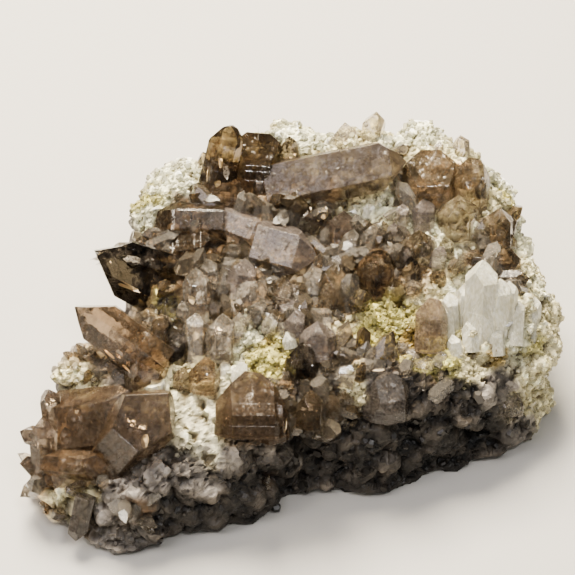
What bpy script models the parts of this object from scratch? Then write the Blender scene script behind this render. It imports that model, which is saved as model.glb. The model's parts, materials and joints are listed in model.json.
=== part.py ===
# Smoky quartz specimen: brown, clear and milky quartz crystals grown on a block of pale vein rock.
#
# The rock is one lumpy block that rests on a flat broken base. Its top rises towards the back, and a knobby
# wall falls from its front rim. Every crystal is a six-sided prism closed by the six sloping faces of quartz,
# so it is cut from a block by planes whose angles are the mineral's own. Crystals that grew into each other are
# one solid, and all of them keep a hair's gap to the rock that they stand on.
#
# Lengths are in millimetres until a mesh is made, then metres. +X runs to the right along the block, +Y to its
# back and +Z up. The origin is under the middle of the specimen, on the surface that it rests on.

import math
import random
from collections import namedtuple

import bmesh
import bpy
from mathutils import Matrix, Vector, kdtree, noise

MM = 0.001

# Driving dimensions of the rock, in millimetres
ROCK_HEIGHT = 23.6  # height of the top over the origin
TOP_SLOPE = 0.28  # rise of the top for each millimetre towards the back
LEFT_FALL = 0.35  # fall of the top for each millimetre past the left shoulder
LEFT_SHOULDER = -25.0
RIM_WIDTH = 7.0  # how far in from the outline the rounded rim begins
RIM_DROP = 1.6
RIGHT_RIM_DROP = 6.0
RIGHT_FALL = (25.0, 42.0)  # where along the block the rim's drop grows to the right one
WALL_LEAN = 0.10  # how far the front wall leans in at its top, as a part of the radius
BACK_UNDERCUT = 0.17  # how far the back draws in at the base, as a part of the radius
FRONT_TO_BACK = (-15.0, 10.0)  # where the front's lean gives way to the back's undercut
BASE_ALLOWANCE = 4.5  # rock below the resting plane, broken away to leave the flat base
ROUGH_CUT = -0.3  # level of the first cut; the second leaves the face that the rock rests on
CRYSTAL_GAP = 0.35  # between a crystal and the rock around its foot
ROCK_GRAIN = 0.9  # spacing of the surface points while the rock is shaped
BLOCK_GRAIN = 1.2  # the same while it is still a plain block
EDGE_STEPS = 8  # points that stand for each stretch of the outline when a distance to it is asked
ROCK_TRIANGLES = 4000

# Quartz: a side looks square away from the crystal's long axis and a sloping face looks this far off that axis;
# the six of each kind are a sixth of a turn apart
UPRIGHT = math.radians(90)
SLOPE_ANGLE = math.radians(51.8)
SIDE_STEP = math.radians(60)
# The side that the specimen is looked at from: a crystal with no turn shows one flat side there
FRONT = Vector((0.0, -1.0, 1.0)).normalized()

# No real crystal is even, so each face moves in or out a little, by these parts of the crystal's radius
SIDE_REACH = (0.9, 1.08)
LEADING_RISE = (-0.12, 0.0)  # the three sloping faces that make the point
LESSER_RISE = (0.15, 0.6)  # the three smaller ones between them

# A worn crystal is cut between its faces too: along its upright edges, round its shoulder and at its point
WORN_EDGE = (1.02, 1.09)
WORN_SHOULDER = math.radians(71)
WORN_SHOULDER_RISE = (1.3, 1.5)
WORN_POINT = math.radians(16)
WORN_POINT_RISE = (-0.32, -0.12)

# The middle of the specimen in the plan that the tables below use
PLAN_MIDDLE = Vector((1.05, 2.6, 0.0))

# Outline of the rock in plan, in millimetres, clockwise from the right end
OUTLINE = [
    (46.0, 3.0), (45.0, -4.5), (41.0, -9.0), (33.5, -12.0), (27.5, -15.5), (18.0, -19.5), (8.0, -19.0),
    (1.5, -21.0), (-6.0, -25.5), (-16.0, -29.0), (-26.0, -31.5), (-35.0, -29.5), (-40.5, -24.5), (-43.0, -20.5),
    (-41.0, -16.0), (-39.0, -11.5), (-39.5, -7.0), (-35.5, -3.5), (-28.5, -1.5), (-26.0, 5.0), (-25.5, 13.0),
    (-26.5, 20.0), (-24.5, 26.0), (-20.5, 31.0), (-14.5, 33.5), (-7.5, 35.5), (0.5, 37.5), (10.5, 36.5),
    (18.5, 37.0), (24.5, 38.0), (29.0, 35.5), (35.0, 32.0), (39.5, 26.5), (42.0, 21.0), (41.0, 16.0), (44.0, 10.0),
]

# Bulges (+) and pits (-) of the rock: x, y, z of the middle, reach, height
FEATURES = {
    "front knob": (-4.5, -13.0, 24.0, 7.0, 4.0),
    "cream shoulder": (-15.0, -21.0, 20.0, 9.0, 1.5),
    "left rim lump": (-24.0, 22.0, 28.0, 5.0, 2.0),
    "right rim lump": (40.0, 21.0, 28.0, 6.0, 2.0),
    "back right crest": (25.0, 36.0, 31.0, 7.0, 0.6),
    "back left crest": (-2.0, 35.0, 31.0, 7.0, 1.0),
    "right bench": (30.0, -12.0, 21.0, 9.0, 2.0),
    "right wall bulge": (33.0, -15.0, 12.0, 8.0, 2.5),
    "left foot": (-27.0, -35.0, 3.0, 7.0, 2.5),
    "west shelf": (-40.0, -24.0, 9.0, 7.0, 2.0),
    "west shoulder": (-37.0, -8.0, 16.0, 8.0, 4.5),
    "hollow under the rim": (22.0, -20.0, 14.0, 8.0, -3.5),
    "hollow by the knob": (5.0, -25.0, 12.0, 7.0, -3.0),
    "left pit": (13.0, -10.0, 24.0, 3.0, -2.5),
    "right pit": (17.5, -11.5, 24.0, 2.6, -2.0),
    "notch between the points": (-30.0, -2.0, 22.0, 5.0, -2.0),
}

# Surface roughness of the rock: size of the lumps and how far they stand out, in millimetres
LUMP_SIZE, LUMP_HEIGHT = 13.0, 2.0
LEDGE_SIZE, LEDGE_HEIGHT = 6.0, 2.2
LEDGE_SHIFT = Vector((7.0, 3.0, 5.0))  # keeps the ledges from following the lumps
POINT_SIZE, POINT_HEIGHT = 4.2, 2.4

# Tolerances, in millimetres: how near to a cut a point counts as on it, and the shortest edge that is kept
ON_THE_CUT = 0.0001
SHORTEST_EDGE = 0.01

# Colours of the finishes: red, green, blue from 0 to 1
ROCK_COLOUR = (0.62, 0.60, 0.50)
SMOKY_COLOUR = (0.25, 0.16, 0.10)
GOLDEN_COLOUR = (0.36, 0.22, 0.11)
LILAC_COLOUR = (0.46, 0.41, 0.42)
CLEAR_COLOUR = (0.66, 0.62, 0.58)
MILKY_COLOUR = (0.80, 0.79, 0.70)

# A crystal has its foot in the rock, its point, its width across the flats and its turn in degrees. In a blunt one
# the front sloping face is cut down below the point, by cut_down millimetres. A flat one has its front side nearer
# to the long axis, at that part of its radius. A worn one has its edges taken off. A chisel is cut down from two
# opposite sides, the numbered one and the one across from it, and ends in an edge.
Crystal = namedtuple("Crystal", "foot tip width turn cut_down flat worn chisel", defaults=(0.0, None, False, None))

# Crystals by node. A node that comes later in the list grew up against the ones before it, so it ends a gap short
# of them.
CRYSTALS = {
    "great_prism": {
        "main": Crystal((-3.6, 22.4, 31.0), (21.2, 24.4, 36.0), 8.4, -18, flat=0.56),
        "under": Crystal((-7.5, 20.0, 27.5), (6.0, 16.0, 28.5), 4.6, 20),
        "slope": Crystal((9.0, 12.6, 25.5), (9.8, 17.8, 30.5), 5.6, 15),
    },
    "crown_cluster": {
        "point": Crystal((-13.2, 22.2, 28.0), (-9.6, 30.5, 40.0), 6.4, 12, worn=True),
        "block": Crystal((-6.3, 23.0, 28.0), (-4.9, 31.4, 40.3), 7.4, 8, cut_down=3.2, chisel=0),
        "foot": Crystal((-10.5, 18.5, 27.0), (-9.8, 24.0, 33.5), 6.2, 10),
        "pale": Crystal((-16.6, 22.0, 26.0), (-14.3, 25.0, 32.0), 4.8, 25),
        "rim": Crystal((0.4, 28.2, 29.5), (0.3, 31.4, 36.0), 3.6, 20),
    },
    "dark_point": {
        "main": Crystal((-20.3, 4.1, 22.8), (-35.4, 8.0, 30.8), 8.6, 30, cut_down=2.6, flat=0.5, chisel=1),
        "back": Crystal((-17.5, 8.4, 24.2), (-30.0, 8.0, 29.4), 5.6, 20),
        "west": Crystal((-20.3, -1.4, 21.5), (-19.3, 4.0, 27.0), 5.0, 10),
        "low": Crystal((-18.6, -8.4, 19.5), (-18.3, -3.2, 26.0), 4.8, 15, cut_down=2.0),
    },
    "golden_point": {
        "main": Crystal((-21.5, -10.7, 20.8), (-37.2, -3.1, 30.0), 7.4, -30, cut_down=2.6, flat=0.8, chisel=2),
        "stubby": Crystal((-23.5, -12.7, 16.5), (-23.6, -8.4, 25.5), 7.6, 8, worn=True),
    },
    "nose_cluster": {
        "main": Crystal((-38.1, -17.0, 13.2), (-21.0, -20.8, 20.0), 10.0, -2, cut_down=3.0, flat=0.8),
        "end": Crystal((-29.1, -21.4, 10.8), (-19.5, -22.3, 27.2), 9.8, 0, cut_down=2.8),
        "under": Crystal((-38.5, -23.6, 8.5), (-24.5, -25.2, 12.5), 6.0, 20),
        "slip": Crystal((-40.0, -23.2, 11.0), (-29.5, -26.8, 14.0), 4.6, 0),
        "post": Crystal((-40.2, -24.2, 8.0), (-40.8, -19.2, 18.0), 4.4, 15),
        "west_point": Crystal((-39.3, -17.5, 11.0), (-39.8, -15.4, 20.5), 3.4, 30),
        "west_tip": Crystal((-38.0, -19.3, 10.5), (-44.6, -20.8, 16.0), 3.0, 0),
        "west_lump": Crystal((-39.0, -22.5, 8.0), (-45.0, -23.2, 10.5), 3.4, 30),
    },
    "south_prism": {
        "main": Crystal((-33.6, -29.0, 9.0), (-35.4, -33.4, 2.5), 3.4, 30),
    },
    "brown_lens": {
        "upper": Crystal((-11.1, 16.4, 28.6), (-24.1, 16.9, 28.6), 6.8, 5, worn=True),
        "lower": Crystal((-20.5, 12.0, 24.5), (-9.5, 11.4, 28.0), 7.0, 25),
        "knob": Crystal((-21.9, 13.6, 24.5), (-23.1, 14.4, 28.6), 4.0, 0, worn=True),
    },
    "lilac_cluster": {
        "striated": Crystal((-5.3, 12.5, 27.5), (5.6, 8.5, 27.5), 8.2, -6, flat=0.7),
        "upper": Crystal((-12.9, 17.5, 29.0), (-3.4, 12.4, 29.0), 5.0, -4, flat=0.7),
        "small": Crystal((-5.6, 12.5, 24.5), (-5.0, 16.0, 29.8), 3.0, 10),
        "brown": Crystal((-8.4, 2.2, 24.0), (-7.2, 7.0, 29.5), 5.0, 20),
        "low": Crystal((0.4, 0.8, 22.5), (-0.1, 4.4, 27.5), 5.4, 10, cut_down=2.4),
    },
    "clear_cluster": {
        "facet": Crystal((-12.8, 4.0, 24.0), (-14.0, 6.8, 29.5), 3.4, 20),
        "post": Crystal((-15.3, -2.0, 21.0), (-15.7, 4.2, 30.0), 4.6, 10),
        "slant": Crystal((-11.5, -1.4, 21.0), (-3.6, 3.4, 27.5), 5.0, 20),
        "brown_left": Crystal((-15.5, -8.5, 20.0), (-15.5, -2.8, 26.0), 4.0, 0),
        "brown_right": Crystal((-11.3, -8.5, 20.5), (-11.0, -3.3, 26.5), 4.6, 15),
    },
    "orange_crystal": {
        "main": Crystal((-14.0, -13.8, 19.5), (-13.6, -11.2, 24.5), 5.2, 12, worn=True),
    },
    "front_crystal": {
        "main": Crystal((-6.2, -21.8, 17.5), (-5.8, -14.8, 26.5), 11.6, 8, cut_down=1.6, flat=0.85, worn=True),
        "clear": Crystal((-2.2, -22.5, 17.0), (-3.0, -19.8, 23.5), 4.4, 10),
    },
    "white_pair": {
        "left": Crystal((1.1, -7.1, 22.0), (1.5, -3.3, 27.5), 3.6, 20),
        "right": Crystal((5.1, -9.4, 22.0), (5.1, -5.0, 27.6), 5.4, 180, cut_down=2.1),
    },
    "dark_round": {
        "main": Crystal((2.4, -12.5, 20.5), (2.6, -9.4, 26.0), 5.6, 10, worn=True),
    },
    "red_crystal": {
        "main": Crystal((3.5, -21.8, 19.0), (3.9, -18.4, 24.0), 4.0, 20),
    },
    "pink_crystal": {
        "main": Crystal((24.2, -6.1, 21.0), (24.4, -1.2, 28.8), 5.4, 15, worn=True),
    },
    "milky_cluster": {
        "main": Crystal((32.6, -4.2, 18.5), (32.8, 2.4, 33.5), 5.4, 25),
        "west": Crystal((28.6, -3.2, 18.5), (27.4, 0.6, 27.5), 3.2, 10),
        "mid": Crystal((30.7, -2.4, 19.0), (30.4, 1.2, 29.5), 3.4, 0),
        "east": Crystal((35.7, -3.4, 18.5), (36.0, 0.8, 30.5), 4.0, 20),
        "tip": Crystal((37.7, -3.0, 18.5), (37.6, 1.2, 29.5), 3.0, 0),
    },
    "east_cluster": {
        "block": Crystal((25.2, 20.9, 28.5), (25.2, 27.6, 39.2), 8.8, 4, cut_down=3.0, chisel=0),
        "beige": Crystal((32.0, 20.4, 28.0), (32.5, 26.0, 36.5), 6.8, 10, worn=True),
        "front": Crystal((30.0, 15.2, 27.0), (29.8, 19.4, 34.2), 6.6, 176, cut_down=2.4),
        "round": Crystal((36.6, 13.0, 26.0), (36.6, 17.2, 33.0), 5.6, 195, cut_down=2.2),
        "bar": Crystal((31.0, 13.9, 27.0), (39.6, 13.4, 28.4), 3.8, 10),
    },
    "east_slab": {
        "slab": Crystal((30.6, 9.4, 25.0), (40.6, 8.8, 27.0), 4.8, 0),
        "sliver": Crystal((34.0, 6.0, 25.0), (41.8, 5.0, 26.2), 3.2, 20),
    },
    "sparkle_block": {
        "main": Crystal((14.9, 4.4, 24.0), (15.5, 8.5, 31.5), 7.4, 12, worn=True),
        "pyramid": Crystal((18.8, 1.6, 22.0), (18.0, 2.8, 28.8), 3.4, 30),
    },
    "tan_crystal": {
        "main": Crystal((8.1, 0.8, 22.5), (8.7, 6.4, 30.0), 5.2, 20, cut_down=1.5),
    },
    "dark_sliver": {
        "main": Crystal((21.4, 2.0, 22.5), (21.2, 7.2, 29.5), 2.8, 0),
    },
    "sparkle_east": {
        "main": Crystal((23.0, 8.6, 25.5), (22.5, 12.4, 32.2), 5.4, 186, cut_down=2.1),
    },
    "grey_slip": {
        "main": Crystal((19.6, 14.6, 27.0), (20.2, 18.0, 32.0), 3.0, 0),
        "east": Crystal((23.8, 15.4, 26.5), (23.9, 19.0, 32.5), 4.0, 15),
    },
    "rim_clear": {
        "tan": Crystal((10.4, 32.4, 29.5), (10.3, 35.4, 36.0), 5.0, 10),
        "clear": Crystal((14.6, 33.0, 29.5), (16.0, 35.2, 38.5), 4.0, 15),
    },
    "rim_east": {
        "main": Crystal((31.6, 30.4, 28.5), (31.0, 32.8, 35.0), 3.2, 20),
    },
    "grey_crystal": {
        "main": Crystal((16.7, -15.7, 16.0), (16.4, -13.0, 23.5), 8.2, 14, worn=True),
    },
    "east_milky": {
        "main": Crystal((42.0, -1.5, 16.5), (42.6, 3.4, 23.5), 2.8, 0),
    },
}

# Finish of each node's quartz: colour, roughness and how clear it is
FINISHES = {
    "smoky": (SMOKY_COLOUR, 0.12, 0.7),
    "golden": (GOLDEN_COLOUR, 0.10, 0.8),
    "lilac": (LILAC_COLOUR, 0.25, 0.5),
    "clear": (CLEAR_COLOUR, 0.10, 0.9),
    "milky": (MILKY_COLOUR, 0.35, 0.3),
}
NODE_FINISH = {
    "golden_point": "golden", "nose_cluster": "golden", "orange_crystal": "golden", "front_crystal": "golden",
    "lilac_cluster": "lilac", "white_pair": "lilac", "grey_slip": "lilac", "pink_crystal": "lilac",
    "clear_cluster": "clear", "rim_clear": "clear", "rim_east": "clear", "grey_crystal": "clear",
    "south_prism": "clear", "milky_cluster": "milky", "east_milky": "milky",
}


def clear_scene():
    for old in list(bpy.data.objects):
        bpy.data.objects.remove(old)


def new_collection(name):
    collection = bpy.data.collections.new(name)
    bpy.context.scene.collection.children.link(collection)
    return collection


def new_object(name, mesh, collection):
    obj = bpy.data.objects.new(name, mesh)
    collection.objects.link(obj)
    return obj


def finish(name, colour, roughness, clearness):
    material = bpy.data.materials.new(name)
    material.use_nodes = True
    shader = material.node_tree.nodes["Principled BSDF"]
    shader.inputs["Base Color"].default_value = (*colour, 1.0)
    shader.inputs["Roughness"].default_value = roughness
    shader.inputs["Metallic"].default_value = 0.0
    shader.inputs["Transmission Weight"].default_value = clearness
    return material


def evaluated_mesh(obj):
    """A new mesh with the object's modifiers applied, or a curve's surface."""
    bpy.context.view_layer.update()
    graph = bpy.context.evaluated_depsgraph_get()
    return bpy.data.meshes.new_from_object(obj.evaluated_get(graph))


def bake(obj):
    """The modifiers of a mesh object become part of its mesh."""
    mesh = evaluated_mesh(obj)
    obj.modifiers.clear()
    old = obj.data
    obj.data = mesh
    bpy.data.meshes.remove(old)


def smoothstep(value, low, high):
    t = min(1.0, max(0.0, (value - low) / (high - low)))
    return t * t * (3.0 - 2.0 * t)


def remesh(obj, size):
    modifier = obj.modifiers.new("even surface", "REMESH")
    modifier.mode = "VOXEL"
    modifier.voxel_size = size * MM
    bake(obj)


# The rock

def outline_block(collection):
    """The outline of the rock as a straight-sided block of the rock's height, standing on the plan."""
    curve = bpy.data.curves.new("rock outline", "CURVE")
    curve.dimensions = "2D"
    curve.fill_mode = "BOTH"
    curve.resolution_u = 8
    curve.extrude = ROCK_HEIGHT / 2 * MM
    spline = curve.splines.new("BEZIER")
    spline.bezier_points.add(len(OUTLINE) - 1)
    spline.use_cyclic_u = True
    for point, (x, y) in zip(spline.bezier_points, OUTLINE):
        point.co = Vector((x, y, 0.0)) * MM
        point.handle_left_type = "AUTO"
        point.handle_right_type = "AUTO"
    drawn = new_object("rock outline", curve, collection)
    block = new_object("rock_matrix", evaluated_mesh(drawn), collection)
    bpy.data.objects.remove(drawn)
    shape = bmesh.new()
    shape.from_mesh(block.data)
    bmesh.ops.remove_doubles(shape, verts=shape.verts, dist=SHORTEST_EDGE * MM)
    bmesh.ops.translate(shape, verts=shape.verts, vec=(0.0, 0.0, ROCK_HEIGHT / 2 * MM))
    bmesh.ops.recalc_face_normals(shape, faces=shape.faces)
    shape.to_mesh(block.data)
    shape.free()
    return block


def edge_finder():
    """Distance in from the outline, for a point of the plan."""
    spots = []
    for start, end in zip(OUTLINE, OUTLINE[1:] + OUTLINE[:1]):
        for step in range(EDGE_STEPS):
            spots.append(Vector((*start, 0.0)).lerp(Vector((*end, 0.0)), step / EDGE_STEPS))
    tree = kdtree.KDTree(len(spots))
    for index, spot in enumerate(spots):
        tree.insert(spot, index)
    tree.balance()
    return lambda x, y: tree.find((x, y, 0.0))[2]


def top_height(x, y, inset):
    """Height of the rock's top: it rises to the back, falls off to the left and rounds off at the rim."""
    slope = TOP_SLOPE * y - LEFT_FALL * max(0.0, LEFT_SHOULDER - x)
    drop = RIM_DROP + (RIGHT_RIM_DROP - RIM_DROP) * smoothstep(x, *RIGHT_FALL)
    rim = 1.0 - smoothstep(inset, 0.0, RIM_WIDTH)
    return ROCK_HEIGHT + slope - drop * rim


def shape_wall(x, y, t):
    """Plan position of a wall point at part t of its height."""
    back = smoothstep(y, *FRONT_TO_BACK)
    front_scale = 1.0 - WALL_LEAN * t * t
    back_scale = 1.0 - BACK_UNDERCUT * (1.0 - t) ** 2
    scale = front_scale + (back_scale - front_scale) * back
    return x * scale, y * scale


def roughness_at(point):
    """How far the rock stands out at a point: broad lumps, ledges with sharp backs and small points."""
    lump = noise.noise(point / LUMP_SIZE) * LUMP_HEIGHT
    ledge = (0.5 - abs(noise.noise(point / LEDGE_SIZE + LEDGE_SHIFT))) * LEDGE_HEIGHT
    distances = noise.voronoi(point / POINT_SIZE)[0]
    points = (0.5 - distances[0]) * POINT_HEIGHT
    return lump + ledge + points


def feature_at(point):
    """What the named bulges and pits add at a point."""
    total = 0.0
    for x, y, z, reach, height in FEATURES.values():
        near = 1.0 - smoothstep((point - Vector((x, y, z))).length, 0.0, reach)
        total += height * near
    return total


def rock(collection):
    block = outline_block(collection)
    remesh(block, BLOCK_GRAIN)
    inset_at = edge_finder()
    for vertex in block.data.vertices:
        x, y, z = vertex.co / MM
        t = z / ROCK_HEIGHT
        height = top_height(x, y, inset_at(x, y)) + BASE_ALLOWANCE
        x, y = shape_wall(x, y, t)
        vertex.co = Vector((x, y, t * height - BASE_ALLOWANCE)) * MM
    remesh(block, ROCK_GRAIN)
    normals = [vertex.normal.copy() for vertex in block.data.vertices]
    for vertex, normal in zip(block.data.vertices, normals):
        point = vertex.co / MM
        vertex.co += normal * (roughness_at(point) + feature_at(point)) * MM
    remesh(block, ROCK_GRAIN)
    cut_base(block, ROUGH_CUT)
    fewer = block.modifiers.new("flat facets", "DECIMATE")
    fewer.ratio = ROCK_TRIANGLES / triangle_count(block.data)
    fewer.use_collapse_triangulate = True
    bake(block)
    cut_base(block, 0.0)
    return block


def triangle_count(mesh):
    return sum(len(polygon.vertices) - 2 for polygon in mesh.polygons)


def cut_base(obj, level):
    """The rock is broken off flat at a level near the plane that it rests on."""
    shape = bmesh.new()
    shape.from_mesh(obj.data)
    bmesh.ops.bisect_plane(
        shape, geom=[*shape.verts, *shape.edges, *shape.faces], dist=ON_THE_CUT * MM,
        plane_co=(0.0, 0.0, level * MM), plane_no=(0.0, 0.0, 1.0), clear_inner=True,
    )
    open_edges = [edge for edge in shape.edges if edge.is_boundary]
    bmesh.ops.holes_fill(shape, edges=open_edges, sides=0)
    bmesh.ops.triangulate(shape, faces=[face for face in shape.faces if len(face.verts) > 4])
    bmesh.ops.recalc_face_normals(shape, faces=shape.faces)
    shape.to_mesh(obj.data)
    shape.free()


# The crystals

def cut_away(shape, point, normal):
    """Everything of a crystal beyond a plane is cut off and the cut becomes a face."""
    bmesh.ops.bisect_plane(
        shape, geom=[*shape.verts, *shape.edges, *shape.faces], dist=ON_THE_CUT * MM,
        plane_co=point, plane_no=normal, clear_outer=True,
    )
    open_edges = [edge for edge in shape.edges if edge.is_boundary]
    if open_edges:
        bmesh.ops.contextual_create(shape, geom=open_edges)


def crystal_frame(foot, tip, turn):
    """Where a crystal stands: its long axis is Z, and X looks to the front before it is turned."""
    axis = (tip - foot).normalized()
    ahead = (FRONT - axis * FRONT.dot(axis)).normalized()
    side = axis.cross(ahead)
    frame = Matrix((ahead, side, axis)).transposed().to_4x4()
    return Matrix.Translation(foot) @ frame @ Matrix.Rotation(math.radians(turn), 4, "Z")


def looking(angle, lean):
    """The direction at an angle round the long axis and a lean off that axis."""
    return Vector((math.cos(angle) * math.sin(lean), math.sin(angle) * math.sin(lean), math.cos(lean)))


def crystal_faces(name, crystal, length):
    """A point on each face of a crystal that stands on the origin, and the direction the face looks in."""
    chance = random.Random(name)
    radius = crystal.width / 2 * MM
    faces = []
    for side in range(6):
        outward = looking(side * SIDE_STEP, UPRIGHT)
        reach = chance.uniform(*SIDE_REACH)
        if side == 0 and crystal.flat:
            reach = crystal.flat
        faces.append((outward * radius * reach, outward))
    cut_sides = (0,) if crystal.chisel is None else (crystal.chisel, crystal.chisel + 3)
    for side in range(6):
        # Three of the six sloping faces lead and make the point; the three between them are smaller
        rise = chance.uniform(*(LEADING_RISE if side % 2 == 0 else LESSER_RISE)) * radius
        if side in cut_sides:
            rise -= crystal.cut_down * MM
        faces.append((Vector((0.0, 0.0, length + rise)), looking(side * SIDE_STEP, SLOPE_ANGLE)))
    if not crystal.worn:
        return faces
    for side in range(6):
        outward = looking((side + 0.5) * SIDE_STEP, UPRIGHT)
        faces.append((outward * radius * chance.uniform(*WORN_EDGE), outward))
        rise = chance.uniform(*WORN_SHOULDER_RISE) * radius
        faces.append((Vector((0.0, 0.0, length + rise)), looking(side * SIDE_STEP, WORN_SHOULDER)))
    for side in (0, 2, 4):
        rise = chance.uniform(*WORN_POINT_RISE) * radius
        faces.append((Vector((0.0, 0.0, length + rise)), looking((side + 0.5) * SIDE_STEP, WORN_POINT)))
    return faces


def crystal_mesh(name, crystal, grow=0.0):
    """A quartz crystal cut from a block by its own faces, each moved out by grow."""
    foot = (Vector(crystal.foot) - PLAN_MIDDLE) * MM
    tip = (Vector(crystal.tip) - PLAN_MIDDLE) * MM
    length = (tip - foot).length
    shape = bmesh.new()
    block = Matrix.Translation((0.0, 0.0, length - grow * MM))
    bmesh.ops.create_cube(shape, size=2 * length, matrix=block)
    for point, outward in crystal_faces(name, crystal, length):
        cut_away(shape, point + outward * grow * MM, outward)
    bmesh.ops.transform(shape, matrix=crystal_frame(foot, tip, crystal.turn), verts=shape.verts)
    bmesh.ops.recalc_face_normals(shape, faces=shape.faces)
    mesh = bpy.data.meshes.new(name)
    shape.to_mesh(mesh)
    shape.free()
    return mesh


def boolean(obj, other, operation):
    modifier = obj.modifiers.new(operation, "BOOLEAN")
    modifier.operation = operation
    modifier.solver = "EXACT"
    modifier.use_self = True
    modifier.object = other
    bake(obj)


def keep_largest(obj):
    """Slips left by the rock's bumps fall away and the crystal stays, with its slivers of faces closed up."""
    shape = bmesh.new()
    shape.from_mesh(obj.data)
    unseen = set(shape.verts)
    islands = []
    while unseen:
        start = unseen.pop()
        island = {start}
        front = [start]
        while front:
            vertex = front.pop()
            for edge in vertex.link_edges:
                other = edge.other_vert(vertex)
                if other in unseen:
                    unseen.discard(other)
                    island.add(other)
                    front.append(other)
        islands.append(island)
    islands.sort(key=len, reverse=True)
    for island in islands[1:]:
        bmesh.ops.delete(shape, geom=list(island), context="VERTS")
    bmesh.ops.dissolve_degenerate(shape, edges=shape.edges, dist=SHORTEST_EDGE * MM)
    bmesh.ops.triangulate(shape, faces=shape.faces)
    shape.to_mesh(obj.data)
    shape.free()


def make_cutter(obj):
    obj.hide_render = True
    obj.display_type = "WIRE"


def grown_rock(block, cutters):
    """The rock a hair larger all round: what a crystal's foot is cut to, so that it keeps clear."""
    cutter = new_object("rock clearance", block.data.copy(), cutters)
    grow = cutter.modifiers.new("clearance", "DISPLACE")
    grow.strength = CRYSTAL_GAP * MM
    grow.mid_level = 0.0
    bake(cutter)
    make_cutter(cutter)
    return cutter


def boxes_meet(one, other):
    """Whether the boxes around two meshes overlap."""
    for axis in range(3):
        ones = [vertex.co[axis] for vertex in one.data.vertices]
        others = [vertex.co[axis] for vertex in other.data.vertices]
        if min(ones) > max(others) or min(others) > max(ones):
            return False
    return True


def crystal_node(node, members, clearance, earlier, parts, cutters):
    """One cluster of crystals, ending short of the rock and of the clusters before it."""
    whole = None
    grown = []
    for name, crystal in members.items():
        label = f"{node}_{name}"
        piece = new_object(label, crystal_mesh(label, crystal), parts)
        space = new_object(f"{label}_space", crystal_mesh(label, crystal, grow=CRYSTAL_GAP), cutters)
        make_cutter(space)
        grown.append(space)
        if whole is None:
            whole = piece
            continue
        boolean(whole, piece, "UNION")
        bpy.data.objects.remove(piece)
    for space in earlier:
        if boxes_meet(whole, space):
            boolean(whole, space, "DIFFERENCE")
    boolean(whole, clearance, "DIFFERENCE")
    keep_largest(whole)
    earlier.extend(grown)
    whole.name = node
    colour, roughness, clearness = FINISHES[NODE_FINISH.get(node, "smoky")]
    whole.data.materials.clear()
    whole.data.materials.append(finish(node, colour, roughness, clearness))


def build():
    clear_scene()
    parts = new_collection("smoky quartz specimen")
    cutters = new_collection("cutters")
    block = rock(parts)
    for vertex in block.data.vertices:
        vertex.co -= PLAN_MIDDLE * MM
    block.data.materials.clear()
    block.data.materials.append(finish("rock_matrix", ROCK_COLOUR, 0.85, 0.0))
    clearance = grown_rock(block, cutters)
    earlier = []
    for node, members in CRYSTALS.items():
        crystal_node(node, members, clearance, earlier, parts, cutters)


build()
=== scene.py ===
# %% [markdown]
# # Smoky quartz on its rock
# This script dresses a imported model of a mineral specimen: a block of vein rock about 92 mm long, covered
# with a sugary crust of small quartz, with brown, clear and milky crystals standing on it.
# The model is loaded first and never moved. It gives every size and place. The cells below build the fine
# surface of each piece around it, in metres, and give each its material.

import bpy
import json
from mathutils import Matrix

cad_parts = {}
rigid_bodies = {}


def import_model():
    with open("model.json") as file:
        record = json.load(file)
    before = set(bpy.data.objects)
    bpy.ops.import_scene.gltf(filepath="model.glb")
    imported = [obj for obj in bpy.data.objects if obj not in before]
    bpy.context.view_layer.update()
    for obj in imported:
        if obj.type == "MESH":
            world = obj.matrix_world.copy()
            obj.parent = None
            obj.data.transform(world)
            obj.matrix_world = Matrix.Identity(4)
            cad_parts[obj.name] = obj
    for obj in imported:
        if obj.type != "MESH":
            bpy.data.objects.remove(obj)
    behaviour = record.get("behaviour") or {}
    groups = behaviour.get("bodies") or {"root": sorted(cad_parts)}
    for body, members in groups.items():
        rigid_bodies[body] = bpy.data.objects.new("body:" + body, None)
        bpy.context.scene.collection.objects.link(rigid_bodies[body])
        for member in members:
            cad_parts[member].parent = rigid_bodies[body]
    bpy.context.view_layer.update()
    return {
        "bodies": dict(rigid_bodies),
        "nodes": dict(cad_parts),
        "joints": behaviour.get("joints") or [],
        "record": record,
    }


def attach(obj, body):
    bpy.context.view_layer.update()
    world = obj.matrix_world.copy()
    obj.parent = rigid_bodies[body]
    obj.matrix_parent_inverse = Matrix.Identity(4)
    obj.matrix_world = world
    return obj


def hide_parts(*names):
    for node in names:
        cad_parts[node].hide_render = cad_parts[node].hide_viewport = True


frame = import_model()

# %% Modules and the unit
import json
import math
import random
from collections import namedtuple

import bmesh
import bpy
import numpy as np
from mathutils import Matrix, Vector, noise
from mathutils.bvhtree import BVHTree

MM = 0.001
# Without a seed the vector noise starts from the clock, and no two runs are the same
NOISE_SEED = 4
noise.seed_set(NOISE_SEED)
# Points nearer than this are one point
SAME_POINT = 0.001 * MM
print("a millimetre is", MM, "metres")

# %% [markdown]
# ## The camera
# Places on the specimen are often easiest to name by where they are in the photograph, so the camera comes
# first. It looks down at 45 degrees from a third of a metre, with a long lens, as a photographer of
# minerals would to keep the crystals' edges straight.
# `ray` turns a pixel of the 575 pixel photograph into a line in space, and later cells cast that line on
# the rock.

# %% Camera
PICTURE = 575
LENS = 120.0
SENSOR = 36.0
# The middle of the specimen in the plan that the crystal tables use, in millimetres
PLAN_MIDDLE = Vector((1.05, 2.6, 0.0))
LOOK_AT = (Vector((0.0, 4.0, 25.0)) - PLAN_MIDDLE) * MM
LOOK_DOWN = math.radians(45)
STAND_OFF = 330 * MM
NEAREST = 10 * MM

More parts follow.
